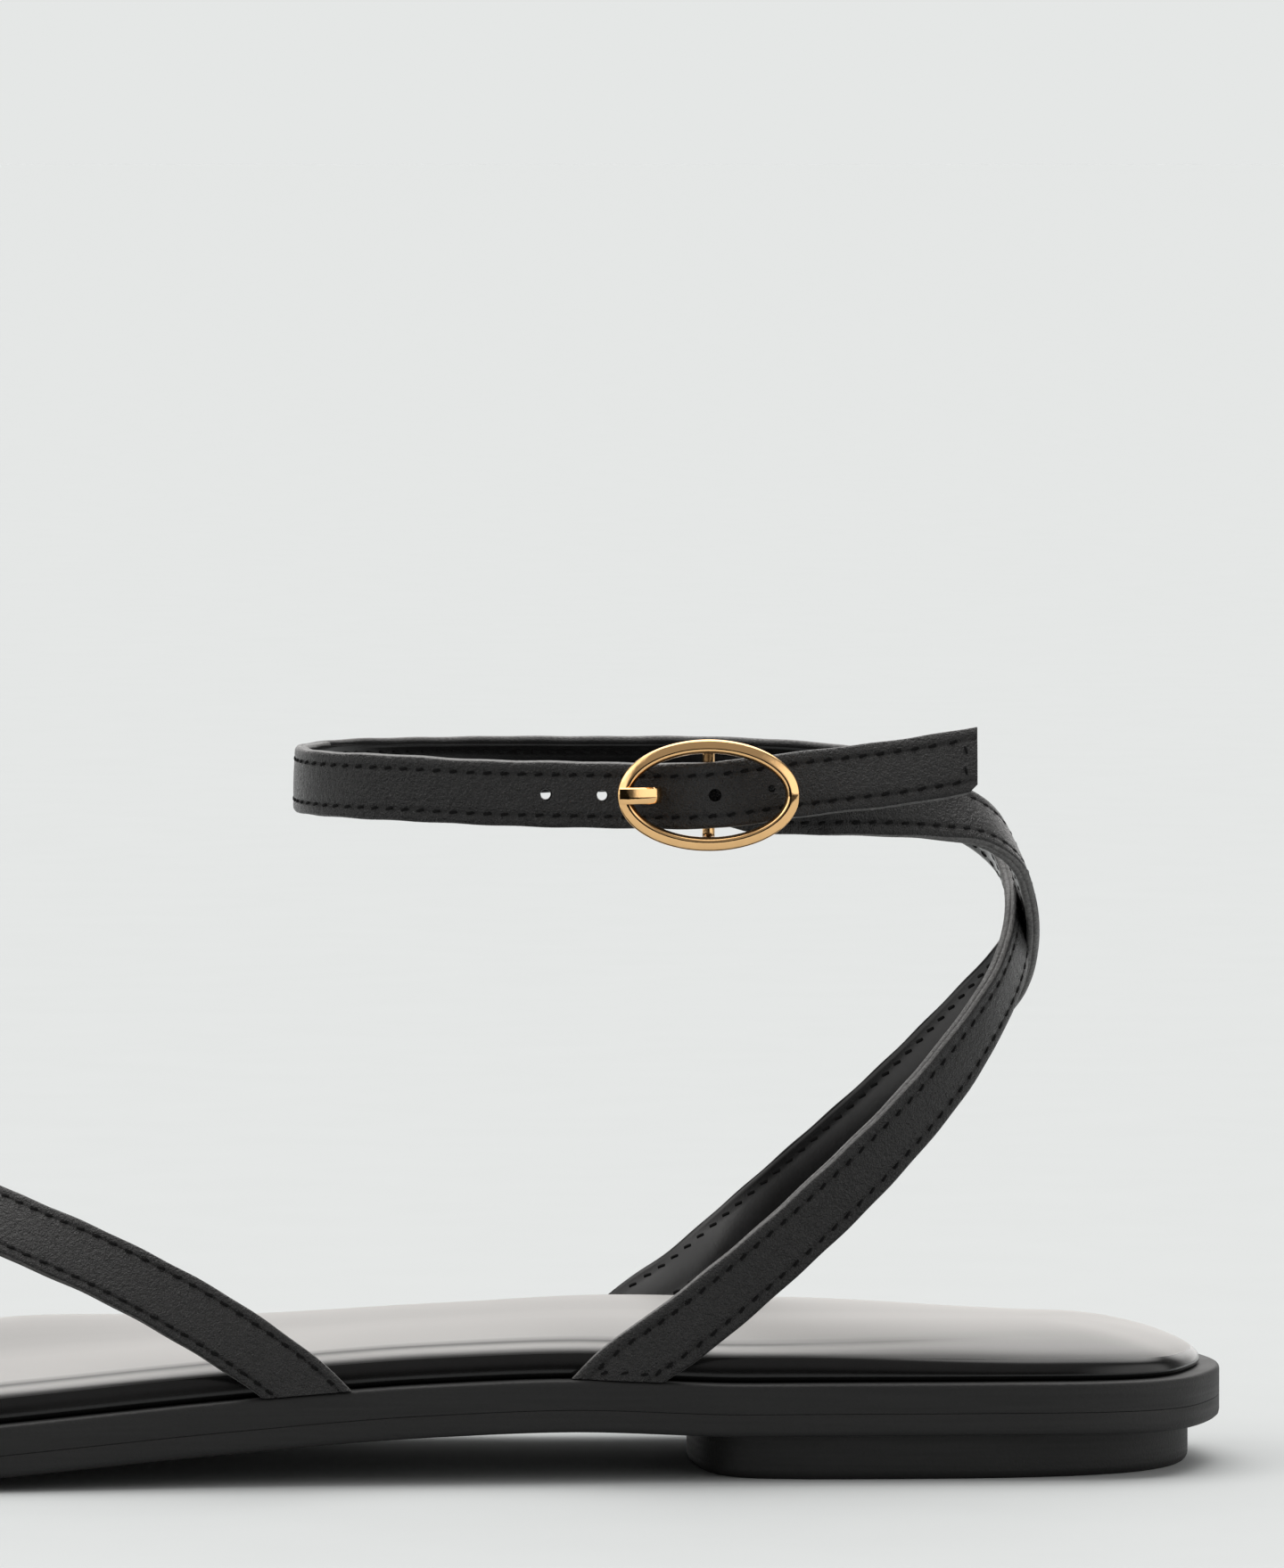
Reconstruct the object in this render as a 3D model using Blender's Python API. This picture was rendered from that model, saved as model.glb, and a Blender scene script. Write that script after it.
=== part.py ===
"""Flat strappy sandal, left foot: layered sole, low heel block, padded insole, straps and an oval buckle.

Frame: +Z up, +X towards the heel, -X towards the toe, -Y the outer (buckle) side of the foot.
The origin is on the floor, under the middle of the sole. Sizes below are in millimetres.
"""

import math

import bmesh
import bpy
import numpy as np
from mathutils import Matrix, Vector

MM = 0.001

# Driving sizes
SOLE_LENGTH = 245.0
HEEL_HEIGHT = 5.2
OUTSOLE_THICK = 2.6
MIDSOLE_THICK = 3.5
SEAT_GAP = 0.3
EDGE_ROUND = 0.5
INSOLE_SET_IN = 2.5
HEEL_SET_IN = 3.0
HEEL_SIDE_LENGTH = 58.0
HEEL_FRONT_BOW = 7.3
STRAP_WIDTH = 8.0
STRAP_THICK = 1.7
STRAP_CORNER = 0.4
TAB_LENGTH = 13.0
TAB_THICK = 1.6
HOLE_RADIUS = 0.9
HOLE_PITCH = 6.85
HOLE_MIDDLE_X = 53.1
HOLE_STEPS = (-2, -1, 1, 2)
BUCKLE_LENGTH = 22.0
BUCKLE_HEIGHT = 13.5
BUCKLE_RIM = 1.7
BAR_RADIUS = 0.75
PRONG_WIDTH = 2.0
PRONG_THICK = 0.8

# Heights above the underside of the outsole
MIDSOLE_LOW = OUTSOLE_THICK + SEAT_GAP
MIDSOLE_TOP = MIDSOLE_LOW + MIDSOLE_THICK
INSOLE_LOW = MIDSOLE_TOP + SEAT_GAP

# The sole's outline, once round: distance from the heel, and side (outer side negative).
OUTLINE = (
    ("from_heel", "side"),
    (0.0, 0.0),
    (2.0, -11.6),
    (6.4, -20.4),
    (15.0, -24.8),
    (30.0, -26.4),
    (52.0, -27.6),
    (84.0, -29.6),
    (120.0, -33.4),
    (150.0, -38.8),
    (174.0, -41.6),
    (200.0, -39.2),
    (223.0, -29.5),
    (238.5, -13.5),
    (245.0, 5.0),
    (239.5, 22.5),
    (222.0, 35.0),
    (200.0, 40.4),
    (176.0, 41.6),
    (150.0, 38.2),
    (120.0, 30.4),
    (92.0, 27.0),
    (52.0, 27.8),
    (30.0, 26.8),
    (15.0, 25.2),
    (6.2, 20.8),
    (2.0, 12.0),
)
POINTS_PER_SPAN = 4

# Height of the outsole's underside: level over the heel block, lifted at the arch, level at the ball.
SOLE_PROFILE = (
    ("from_heel", "height"),
    (0.0, 5.5),
    (58.0, 5.5),
    (80.0, 6.2),
    (97.0, 5.7),
    (120.0, 4.1),
    (148.0, 1.7),
    (168.0, 0.0),
    (204.0, 0.0),
    (228.0, 1.9),
    (245.0, 4.6),
)
BEND_STEP = 7.0

# The padded insole: set in from its widest line and raised, ring by ring, from the seat to the crown.
INSOLE_RINGS = (
    ("set_in", "raised"),
    (0.7, 0.0),
    (0.0, 0.30),
    (0.35, 0.58),
    (1.5, 0.78),
    (3.6, 0.87),
    (9.0, 0.94),
    (16.0, 1.0),
)
INSOLE_SWELL = (
    ("from_heel", "thick", "inner_rise"),
    (0.0, 3.6, 0.0),
    (8.0, 4.6, 0.0),
    (20.0, 5.4, 0.0),
    (42.0, 6.1, 0.0),
    (64.0, 6.1, 0.0),
    (97.0, 5.3, 0.0),
    (120.0, 4.8, 0.2),
    (150.0, 4.4, 2.2),
    (180.0, 4.3, 2.2),
    (212.0, 4.1, 0.5),
    (245.0, 3.6, 0.0),
)
INNER_RISE_REACH = 34.0
SPINE_ENDS = (26.0, 208.0)

# The ankle part of the last: plan sections by height, each a rounded oval.
ANKLE_FORM = (
    ("height", "back", "front", "outer", "inner"),
    (0.0, 96.6, 8.6, 27.2, 25.3),
    (16.0, 96.6, 8.6, 27.2, 25.3),
    (45.0, 96.8, 8.6, 27.0, 26.2),
    (66.0, 96.6, 8.4, 26.6, 26.6),
    (84.0, 95.6, 9.8, 26.6, 27.0),
    (100.0, 95.0, 11.0, 26.6, 27.0),
)
ANKLE_SQUARENESS = 2.4

# Strap routes round the ankle. turn: degrees from the back of the heel, inner side positive.
# lift: distance of the strap's inner face from the last. lean: tilt of its face upwards, degrees.
LONG_STRAP = (
    ("turn", "height", "lift", "lean"),
    (-101.0, 5.5, 0.0, 0.0),
    (-88.0, 18.0, 0.0, -4.0),
    (-70.5, 30.8, 0.0, -4.0),
    (-50.0, 43.6, 0.0, -2.0),
    (-27.0, 56.0, 0.0, 0.0),
    (-10.0, 63.2, 0.0, 8.0),
    (6.0, 69.8, 0.0, 18.0),
    (22.0, 75.8, 0.0, 33.0),
    (38.0, 80.0, 0.0, 26.0),
    (62.0, 82.9, 0.0, 8.0),
    (92.0, 83.8, 0.0, 0.0),
    (135.0, 83.8, 0.0, 2.0),
    (180.0, 84.3, 0.0, 3.0),
    (222.0, 84.3, 0.0, 2.0),
    (246.0, 83.9, 0.1, 0.0),
    (256.0, 83.8, 0.6, 0.0),
)
# Its free end, over the bar of the buckle and on to the tip.
LONG_STRAP_END = (
    ("x", "y", "z"),
    (44.0, -28.5, 83.8),
    (49.3, -29.8, 83.75),
    (53.4, -31.0, 83.75),
    (56.0, -32.2, 83.8),
    (59.35, -32.8, 83.9),
    (62.7, -32.2, 84.2),
    (65.3, -31.0, 84.5),
    (69.5, -29.7, 85.0),
    (74.0, -29.3, 85.5),
    (82.0, -29.0, 86.4),
    (94.0, -28.2, 88.4),
)
STRAP_TIP_X = 91.7
BUCKLE_STRAP = (
    ("turn", "height", "lift", "lean"),
    (102.5, 5.5, 0.0, 0.0),
    (89.5, 18.3, 0.0, -4.0),
    (72.0, 31.1, 0.0, -4.0),
    (51.5, 43.4, 0.0, -2.0),
    (28.0, 55.2, 0.5, 0.0),
    (12.0, 61.6, 1.15, 4.0),
    (0.0, 67.0, 1.25, 10.0),
    (-11.0, 72.4, 1.3, 24.0),
    (-20.0, 76.9, 1.5, 34.0),
    (-30.0, 80.1, 0.8, 36.0),
    (-43.0, 81.8, 0.1, 20.0),
    (-56.0, 82.5, 0.0, 6.0),
    (-66.0, 82.7, 0.0, 0.0),
)
# Its end: skived thinner, round the bar of the buckle and back on itself.
BUCKLE_STRAP_LEAD = (
    ("x", "y", "z", "width", "thick"),
    (70.2, -26.7, 82.8, 8.0, 1.6),
    (67.4, -27.7, 82.9, 8.0, 1.4),
    (64.4, -29.1, 83.1, 7.8, 1.1),
    (61.9, -30.4, 83.6, 7.1, 1.0),
)
BUCKLE_LOOP_WIDTH = 7.0
BUCKLE_LOOP_THICK = 1.0
BUCKLE_LOOP_END_X = 64.2
LOOP_SLOT_REACH = 3.4
LOOP_SLOT_GAP = 0.4

# The strap over the forefoot, from the outer waist to the inner ball.
VAMP_STRAP = (
    ("x", "y", "z"),
    (16.0, -31.2, 5.0),
    (10.6, -31.6, 11.4),
    (-0.2, -32.2, 19.2),
    (-13.2, -31.4, 26.3),
    (-26.2, -27.8, 31.7),
    (-38.0, -19.5, 36.6),
    (-48.0, -7.5, 39.8),
    (-56.5, 8.0, 39.4),
    (-63.0, 23.0, 33.6),
    (-67.5, 35.6, 23.4),
    (-70.0, 40.1, 11.5),
    (-71.0, 40.2, 1.5),
)
VAMP_CENTRE = (4.0, 6.0)
VAMP_HALF_WIDTH = 36.0
VAMP_HALF_HEIGHT = 34.0
VAMP_TAB_ENDS = ((8.6, -31.4, 1.0), (-70.4, 40.1, -1.0))
ANKLE_TAB_ENDS = ((49.6, -28.0, 1.0), (48.2, 26.2, -1.0))
TAB_WIDTH = 9.0

BUCKLE_CENTRE = (59.35, -33.0, 83.75)
BAR_Y = -29.2
BAR_SHOULDER = 5.5
PRONG_PATH = (
    ("x", "y"),
    (57.6, -30.5),
    (55.0, -30.45),
    (53.2, -31.8),
    (51.7, -33.4),
    (50.5, -34.5),
    (48.5, -34.55),
)
PRONG_SLOT = (53.4, 3.9, 2.7)
STRAP_STEP = 4.2

FINISHES = (
    ("piece", "red", "green", "blue", "roughness", "metallic"),
    ("outsole", 0.022, 0.022, 0.022, 0.65, 0.0),
    ("midsole", 0.022, 0.022, 0.022, 0.60, 0.0),
    ("heel", 0.020, 0.020, 0.020, 0.65, 0.0),
    ("insole", 0.020, 0.020, 0.020, 0.32, 0.0),
    ("vamp_strap", 0.025, 0.024, 0.024, 0.45, 0.0),
    ("ankle_straps", 0.025, 0.024, 0.024, 0.45, 0.0),
    ("buckle", 0.86, 0.62, 0.30, 0.14, 1.0),
    ("buckle_prong", 0.86, 0.62, 0.30, 0.14, 1.0),
)


def column(table, name):
    """One named column of a table, as numbers."""
    place = table[0].index(name)
    return np.array([row[place] for row in table[1:]], float)


def smooth(knots, values, at):
    """A smooth curve through a table's rows that stays level between equal values."""
    knots = np.asarray(knots, float)
    values = np.asarray(values, float)
    step = np.diff(knots)
    slope = np.diff(values) / step
    tangent = np.zeros(len(knots))
    tangent[0], tangent[-1] = slope[0], slope[-1]
    for i in range(1, len(knots) - 1):
        if slope[i - 1] * slope[i] > 0:
            left = 2 * step[i] + step[i - 1]
            right = step[i] + 2 * step[i - 1]
            tangent[i] = (left + right) / (left / slope[i - 1] + right / slope[i])
    at = np.clip(np.asarray(at, float), knots[0], knots[-1])
    i = np.clip(np.searchsorted(knots, at, side="right") - 1, 0, len(step) - 1)
    t = (at - knots[i]) / step[i]
    start = (1 + 2 * t) * (1 - t) ** 2 * values[i] + t * (1 - t) ** 2 * step[i] * tangent[i]
    end = t * t * (3 - 2 * t) * values[i + 1] + t * t * (t - 1) * step[i] * tangent[i + 1]
    return start + end


def through(points, count, closed=False):
    """Points on an even curve (Catmull-Rom) through the given ones, count to each span."""
    points = np.asarray(points, float)
    n = len(points)
    spans = n if closed else n - 1
    found = []
    for i in range(spans):
        around = [points[(i + k) % n] if closed else points[min(max(i + k, 0), n - 1)] for k in (-1, 0, 1, 2)]
        for t in np.arange(count) / count:
            a, b, c, d = around
            cubic = -a + 3 * b - 3 * c + d
            square = 2 * a - 5 * b + 4 * c - d
            found.append(0.5 * (2 * b + (c - a) * t + square * t * t + cubic * t ** 3))
    if not closed:
        found.append(points[-1])
    return np.array(found)


def from_heel(x):
    """Distance from the back of the sole, from a place along the shoe."""
    return SOLE_LENGTH / 2 - np.asarray(x, float)


def sole_outline():
    """The sole's outline in plan, centred on the origin."""
    rows = np.column_stack([column(OUTLINE, "from_heel"), column(OUTLINE, "side")])
    loop = through(rows, POINTS_PER_SPAN, closed=True)
    loop[:, 0] = loop[:, 0].max() - loop[:, 0]
    loop -= (loop.max(0) + loop.min(0)) / 2
    return loop


def set_in(outline, distance):
    """The outline moved towards the sole's middle line by a distance."""
    low, high = from_heel(SPINE_ENDS[1]), from_heel(SPINE_ENDS[0])
    x = np.clip(outline[:, 0], low, high)
    spine = np.column_stack([x, np.zeros(len(x))])
    away = outline - spine
    reach = np.linalg.norm(away, axis=1)
    return spine + away * ((reach - distance) / reach)[:, None]


def sole_height(x):
    """Height of the outsole's underside."""
    return smooth(column(SOLE_PROFILE, "from_heel"), column(SOLE_PROFILE, "height"), from_heel(x))


def insole_thickness(x, y):
    """Thickness of the insole at its crown, with the lift of its inner edge by the ball."""
    u = from_heel(x)
    thick = smooth(column(INSOLE_SWELL, "from_heel"), column(INSOLE_SWELL, "thick"), u)
    rise = smooth(column(INSOLE_SWELL, "from_heel"), column(INSOLE_SWELL, "inner_rise"), u)
    aside = np.clip(np.asarray(y, float) / INNER_RISE_REACH, 0, 1)
    return thick + rise * aside * aside * (3 - 2 * aside)


def ankle_point(turn, height, lift):
    """A place on the ankle part of the last, and the outward direction there."""
    back, front, outer, inner = (
        smooth(column(ANKLE_FORM, "height"), column(ANKLE_FORM, name), height)
        for name in ("back", "front", "outer", "inner")
    )
    angle = math.radians(turn)
    c, s = math.cos(angle), math.sin(angle)
    power = 2 / ANKLE_SQUARENESS
    half_length = (back - front) / 2
    half_width = inner if s > 0 else outer
    along = math.copysign(abs(c) ** power, c)
    aside = math.copysign(abs(s) ** power, s)
    steep = ANKLE_SQUARENESS - 1
    normal = Vector((
        math.copysign(abs(along) ** steep, along) / half_length,
        math.copysign(abs(aside) ** steep, aside) / half_width,
        0.0,
    )).normalized()
    place = Vector(((back + front) / 2 + half_length * along, half_width * aside, height))
    return place + normal * lift, normal


def link(obj, collection):
    collection.objects.link(obj)
    return obj


def finish(obj):
    """Gives a piece its own material, from the table of finishes."""
    red, green, blue, roughness, metallic = next(row[1:] for row in FINISHES[1:] if row[0] == obj.name)
    made = bpy.data.materials.new(obj.name)
    made.use_nodes = True
    shader = made.node_tree.nodes["Principled BSDF"]
    shader.inputs["Base Color"].default_value = (red, green, blue, 1.0)
    shader.inputs["Roughness"].default_value = roughness
    shader.inputs["Metallic"].default_value = metallic
    obj.data.materials.append(made)
    return obj


def mesh_object(bm, name, collection):
    """A named object from a bmesh modelled in millimetres, shaded smooth with its edges kept."""
    bmesh.ops.recalc_face_normals(bm, faces=bm.faces)
    bmesh.ops.scale(bm, vec=(MM, MM, MM), verts=bm.verts)
    mesh = bpy.data.meshes.new(name)
    bm.to_mesh(mesh)
    bm.free()
    mesh.shade_smooth()
    mesh.set_sharp_from_angle(angle=math.radians(35))
    return link(bpy.data.objects.new(name, mesh), collection)


def boolean(obj, other, operation):
    modifier = obj.modifiers.new(f"{operation.lower()} {other.name}", "BOOLEAN")
    modifier.operation = operation
    modifier.object = other
    modifier.solver = "EXACT"
    return obj


def hide_cutter(obj):
    obj.hide_render = True
    obj.display_type = "WIRE"
    return obj


def as_mesh(curve, collection, name):
    """A closed mesh object in place of a curve, so that it can be joined or cut."""
    bpy.context.view_layer.update()
    graph = bpy.context.evaluated_depsgraph_get()
    mesh = bpy.data.meshes.new_from_object(curve.evaluated_get(graph))
    bm = bmesh.new()
    bm.from_mesh(mesh)
    bmesh.ops.remove_doubles(bm, verts=bm.verts, dist=1e-6)
    bmesh.ops.recalc_face_normals(bm, faces=bm.faces)
    bm.to_mesh(mesh)
    bm.free()
    obj = link(bpy.data.objects.new(name, mesh), collection)
    obj.matrix_world = curve.matrix_world.copy()
    bpy.data.objects.remove(curve)
    return obj


def cut_across(bm):
    """Edges across a flat form at even steps along the shoe, so that it can follow the sole's curve."""
    steps = int(SOLE_LENGTH / BEND_STEP)
    for i in range(1, steps):
        x = -SOLE_LENGTH / 2 + i * SOLE_LENGTH / steps
        geometry = bm.verts[:] + bm.edges[:] + bm.faces[:]
        bmesh.ops.bisect_plane(bm, geom=geometry, plane_co=(x, 0, 0), plane_no=(1, 0, 0), dist=0.05)


def follow_sole(bm):
    """Lifts a flat form by the height of the sole's underside, its wide faces in triangles."""
    for v in bm.verts:
        v.co.z += float(sole_height(v.co.x))
    bmesh.ops.triangulate(bm, faces=[f for f in bm.faces if len(f.verts) > 3])


def slab(outline, low, high, edge=0.0, bent=True):
    """A plate with the given plan outline, its edges rounded, that follows the sole."""
    bm = bmesh.new()
    face = bm.faces.new([bm.verts.new((x, y, low)) for x, y in outline])
    raised = bmesh.ops.extrude_face_region(bm, geom=[face])["geom"]
    top = [g for g in raised if isinstance(g, bmesh.types.BMVert)]
    bmesh.ops.translate(bm, vec=(0, 0, high - low), verts=top)
    if edge:
        rims = [e for e in bm.edges if abs(e.verts[0].co.z - e.verts[1].co.z) < 1e-6]
        bmesh.ops.bevel(bm, geom=rims, offset=edge, segments=2, profile=0.5, affect="EDGES", material=-1)
    if bent:
        cut_across(bm)
        follow_sole(bm)
    return bm


def rings_solid(rings):
    """A closed form through level rings with the same number of points, capped at both ends."""
    bm = bmesh.new()
    loops = [[bm.verts.new(p) for p in ring] for ring in rings]
    for lower, upper in zip(loops, loops[1:]):
        for i in range(len(lower)):
            k = (i + 1) % len(lower)
            bm.faces.new((lower[i], lower[k], upper[k], upper[i]))
    bm.faces.new(loops[0])
    bm.faces.new(loops[-1])
    return bm


def strap_section(width, thick):
    """A strap's cut section, corners eased: across the strap, and out from it."""
    w, t, c = width / 2, thick / 2, min(STRAP_CORNER, thick / 3)
    lower = [(-w, -t + c), (-w + c, -t), (w - c, -t), (w, -t + c)]
    return lower + [(-across, -out) for across, out in lower]


def ribbon(rows):
    """A strap through rows of (centre, outward direction, width, thickness)."""
    centres = [Vector(row[0]) for row in rows]
    rings = []
    for i, (_, outward, width, thick) in enumerate(rows):
        tangent = (centres[min(i + 1, len(rows) - 1)] - centres[max(i - 1, 0)]).normalized()
        across = outward.cross(tangent).normalized()
        out = tangent.cross(across)
        rings.append([centres[i] + across * a + out * o for a, o in strap_section(width, thick)])
    bm = rings_solid(rings)
    bmesh.ops.triangulate(bm, faces=bm.faces)
    return bm


def ankle_rows(table):
    """Evenly spaced strap rows from a route round the ankle."""
    knots = np.arange(len(table) - 1, dtype=float)
    fine = np.linspace(0, knots[-1], 400)
    turn, height, lift, lean = (smooth(knots, column(table, n), fine) for n in table[0])
    found = [ankle_point(a, h, f + STRAP_THICK / 2) for a, h, f in zip(turn, height, lift)]
    places = np.array([p for p, _ in found])
    return spaced(places, [n for _, n in found], lean)


def spaced(places, normals, lean):
    """Rows at about the strap's own step along a fine path, each face leant about the path."""
    run = np.concatenate([[0], np.cumsum(np.linalg.norm(np.diff(places, axis=0), axis=1))])
    count = max(2, round(run[-1] / STRAP_STEP))
    rows = []
    for at in np.linspace(0, run[-1], count + 1):
        i = min(int(np.searchsorted(run, at)), len(run) - 1)
        tangent = Vector(places[min(i + 1, len(run) - 1)] - places[max(i - 1, 0)]).normalized()
        sideways = tangent.cross(normals[i]).normalized()
        up = sideways if sideways.z > 0 else -sideways
        angle = math.radians(float(lean[i]))
        outward = normals[i] * math.cos(angle) + up * math.sin(angle)
        rows.append((Vector(places[i]), outward, STRAP_WIDTH, STRAP_THICK))
    return rows


def long_strap_rows():
    """The strap from the outer waist, round the back and the ankle, through the buckle to its tip."""
    rows = ankle_rows(LONG_STRAP)
    x, y, z = (column(LONG_STRAP_END, name) for name in LONG_STRAP_END[0])
    fine = np.linspace(x[0], x[-1], 200)
    places = np.column_stack([fine, smooth(x, y, fine), smooth(x, z, fine)])
    outer_side = [Vector((0, -1, 0))] * len(fine)
    return rows + spaced(places, outer_side, np.zeros(len(fine)))


def buckle_strap_rows():
    """The strap from the inner waist, round the back, to its loop on the buckle's bar."""
    rows = ankle_rows(BUCKLE_STRAP)
    z = BUCKLE_CENTRE[2]
    outer_side = Vector((0, -1, 0))
    for lead_x, lead_y, lead_z, width, thick in BUCKLE_STRAP_LEAD[1:]:
        rows.append((Vector((lead_x, lead_y, lead_z)), outer_side, width, thick))
    radius = BAR_RADIUS + SEAT_GAP + BUCKLE_LOOP_THICK / 2
    for degrees in range(285, 80, -25):
        angle = math.radians(degrees)
        out = Vector((math.cos(angle), math.sin(angle), 0))
        centre = Vector((BUCKLE_CENTRE[0], BAR_Y, z)) + out * radius
        rows.append((centre, out, BUCKLE_LOOP_WIDTH, BUCKLE_LOOP_THICK))
    back = Vector((BUCKLE_LOOP_END_X, BAR_Y + radius, z))
    rows.append((back, Vector((0, 1, 0)), BUCKLE_LOOP_WIDTH, BUCKLE_LOOP_THICK))
    return rows


def vamp_rows():
    """The strap over the forefoot, its face square to the oval section of the last."""
    rows = np.array(VAMP_STRAP[1:], float)
    places = through(rows, 24)
    normals = []
    for _, y, z in places:
        aside = (y - VAMP_CENTRE[0]) / VAMP_HALF_WIDTH ** 2
        above = max(z - VAMP_CENTRE[1], 0.0) / VAMP_HALF_HEIGHT ** 2
        normals.append(Vector((0, aside, above)).normalized())
    return spaced(places, normals, np.zeros(len(places)))


def tab_outline(end, grow=0.0):
    """Plan of a strap's tab under the insole: a plate from the strap's foot towards the middle line."""
    x, y, inward = end
    w = TAB_WIDTH / 2 + grow
    near = y - inward * (STRAP_THICK / 2 + grow)
    far = y + inward * (TAB_LENGTH + grow)
    return [(x - w, near), (x + w, near), (x + w, far), (x - w, far)]


def clear_old_scene():
    for obj in list(bpy.data.objects):
        bpy.data.objects.remove(obj)


def heel_outline():
    """The back of the sole's outline, set in, with a bowed front."""
    outline = set_in(sole_outline(), HEEL_SET_IN)
    front = from_heel(HEEL_SIDE_LENGTH)
    toe = int(outline[:, 0].argmin())
    outer = [tuple(p) for p in outline[:toe] if p[0] > front]
    inner = [tuple(p) for p in outline[toe:] if p[0] > front]
    half_width = (inner[0][1] - outer[-1][1]) / 2
    middle = (inner[0][1] + outer[-1][1]) / 2
    bow = [
        (front - HEEL_FRONT_BOW * math.sin(a), middle - half_width * math.cos(a))
        for a in np.linspace(0, math.pi, 15)
    ]
    return outer + bow + inner


def build_sole(parts):
    outline = sole_outline()
    finish(mesh_object(slab(outline, 0.0, OUTSOLE_THICK, EDGE_ROUND), "outsole", parts))
    finish(mesh_object(slab(outline, MIDSOLE_LOW, MIDSOLE_TOP, EDGE_ROUND), "midsole", parts))
    finish(mesh_object(slab(heel_outline(), 0.0, HEEL_HEIGHT, EDGE_ROUND, bent=False), "heel", parts))


def build_insole(parts, cutters):
    outline = set_in(sole_outline(), INSOLE_SET_IN)
    rings = []
    for distance, raised in INSOLE_RINGS[1:]:
        ring = set_in(outline, distance)
        rings.append([(x, y, raised) for x, y in ring])
    bm = rings_solid(rings)
    cut_across(bm)
    for v in bm.verts:
        v.co.z = INSOLE_LOW + v.co.z * float(insole_thickness(v.co.x, v.co.y))
    follow_sole(bm)
    insole = finish(mesh_object(bm, "insole", parts))
    for i, end in enumerate(VAMP_TAB_ENDS + ANKLE_TAB_ENDS):
        pocket = slab(tab_outline(end, SEAT_GAP), INSOLE_LOW - 2.0, INSOLE_LOW + TAB_THICK + SEAT_GAP)
        cutter = hide_cutter(mesh_object(pocket, f"tab pocket {i}", cutters))
        boolean(insole, cutter, "DIFFERENCE")


def strap_place(rows, x):
    """Centre of the long strap's outer run at a place along the shoe."""
    run = [row[0] for row in rows if row[0].y < 0 and row[0].z > BUCKLE_CENTRE[2] - STRAP_WIDTH / 2]
    xs, ys, zs = np.array(sorted(tuple(p) for p in run)).T
    return Vector((x, float(np.interp(x, xs, ys)), float(np.interp(x, xs, zs))))


def strap_holes(rows):
    """Cutters for the punched holes, and for the one that the prong stretches."""
    bm = bmesh.new()
    turned = Matrix.Rotation(math.radians(90), 4, "X")
    for step in HOLE_STEPS:
        place = strap_place(rows, HOLE_MIDDLE_X + step * HOLE_PITCH)
        bmesh.ops.create_cone(
            bm, cap_ends=True, segments=12, radius1=HOLE_RADIUS, radius2=HOLE_RADIUS,
            depth=2.4 * STRAP_THICK, matrix=Matrix.Translation(place) @ turned,
        )
    x, length, height = PRONG_SLOT
    place = strap_place(rows, x)
    size = Matrix.Diagonal((length, 4 * STRAP_THICK, height, 1))
    bmesh.ops.create_cube(bm, size=1.0, matrix=Matrix.Translation(place) @ size)
    beyond = 2 * STRAP_WIDTH
    tip = Vector((STRAP_TIP_X + beyond / 2, *LONG_STRAP_END[-1][1:]))
    bmesh.ops.create_cube(bm, size=beyond, matrix=Matrix.Translation(tip))
    return bm


def build_straps(parts, cutters):
    below = slab(set_in(sole_outline(), -8.0), -30.0, INSOLE_LOW)
    under_foot = hide_cutter(mesh_object(below, "under foot", cutters))

    def add_tabs(strap, ends):
        boolean(strap, under_foot, "DIFFERENCE")
        for i, end in enumerate(ends):
            tab = slab(tab_outline(end), INSOLE_LOW, INSOLE_LOW + TAB_THICK)
            boolean(strap, hide_cutter(mesh_object(tab, f"{strap.name} tab {i}", cutters)), "UNION")

    vamp = finish(mesh_object(ribbon(vamp_rows()), "vamp_strap", parts))
    add_tabs(vamp, VAMP_TAB_ENDS)

    rows = long_strap_rows()
    ankle = finish(mesh_object(ribbon(rows), "ankle_straps", parts))
    holes = hide_cutter(mesh_object(strap_holes(rows), "strap holes", cutters))
    boolean(ankle, holes, "DIFFERENCE")
    other = hide_cutter(mesh_object(ribbon(buckle_strap_rows()), "buckle strap", cutters))
    x, _, z = BUCKLE_CENTRE
    bm = bmesh.new()
    size = Matrix.Diagonal((2 * LOOP_SLOT_REACH, 12.0, PRONG_WIDTH + 2 * LOOP_SLOT_GAP, 1))
    bmesh.ops.create_cube(bm, size=1.0, matrix=Matrix.Translation((x, BAR_Y, z)) @ size)
    slot = hide_cutter(mesh_object(bm, "loop slot", cutters))
    boolean(other, slot, "DIFFERENCE")
    boolean(ankle, other, "UNION")
    add_tabs(ankle, ANKLE_TAB_ENDS)


def round_wire(name, collection, spline_type, points, radius, closed=False):
    """A round wire through points; a closed one is smoothed into an oval."""
    curve = bpy.data.curves.new(name, "CURVE")
    curve.dimensions = "3D"
    curve.bevel_depth = radius * MM
    curve.bevel_resolution = 2
    curve.resolution_u = 10
    curve.use_fill_caps = not closed
    spline = curve.splines.new(spline_type)
    if spline_type == "BEZIER":
        spline.bezier_points.add(len(points) - 1)
        for knot, (place, pull) in zip(spline.bezier_points, points):
            knot.co = Vector(place) * MM
            knot.handle_left = (Vector(place) - Vector(pull)) * MM
            knot.handle_right = (Vector(place) + Vector(pull)) * MM
    else:
        spline.points.add(len(points) - 1)
        for knot, place in zip(spline.points, points):
            knot.co = (*(Vector(place) * MM), 1.0)
    spline.use_cyclic_u = closed
    return as_mesh(link(bpy.data.objects.new(name + " wire", curve), collection), collection, name)


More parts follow.
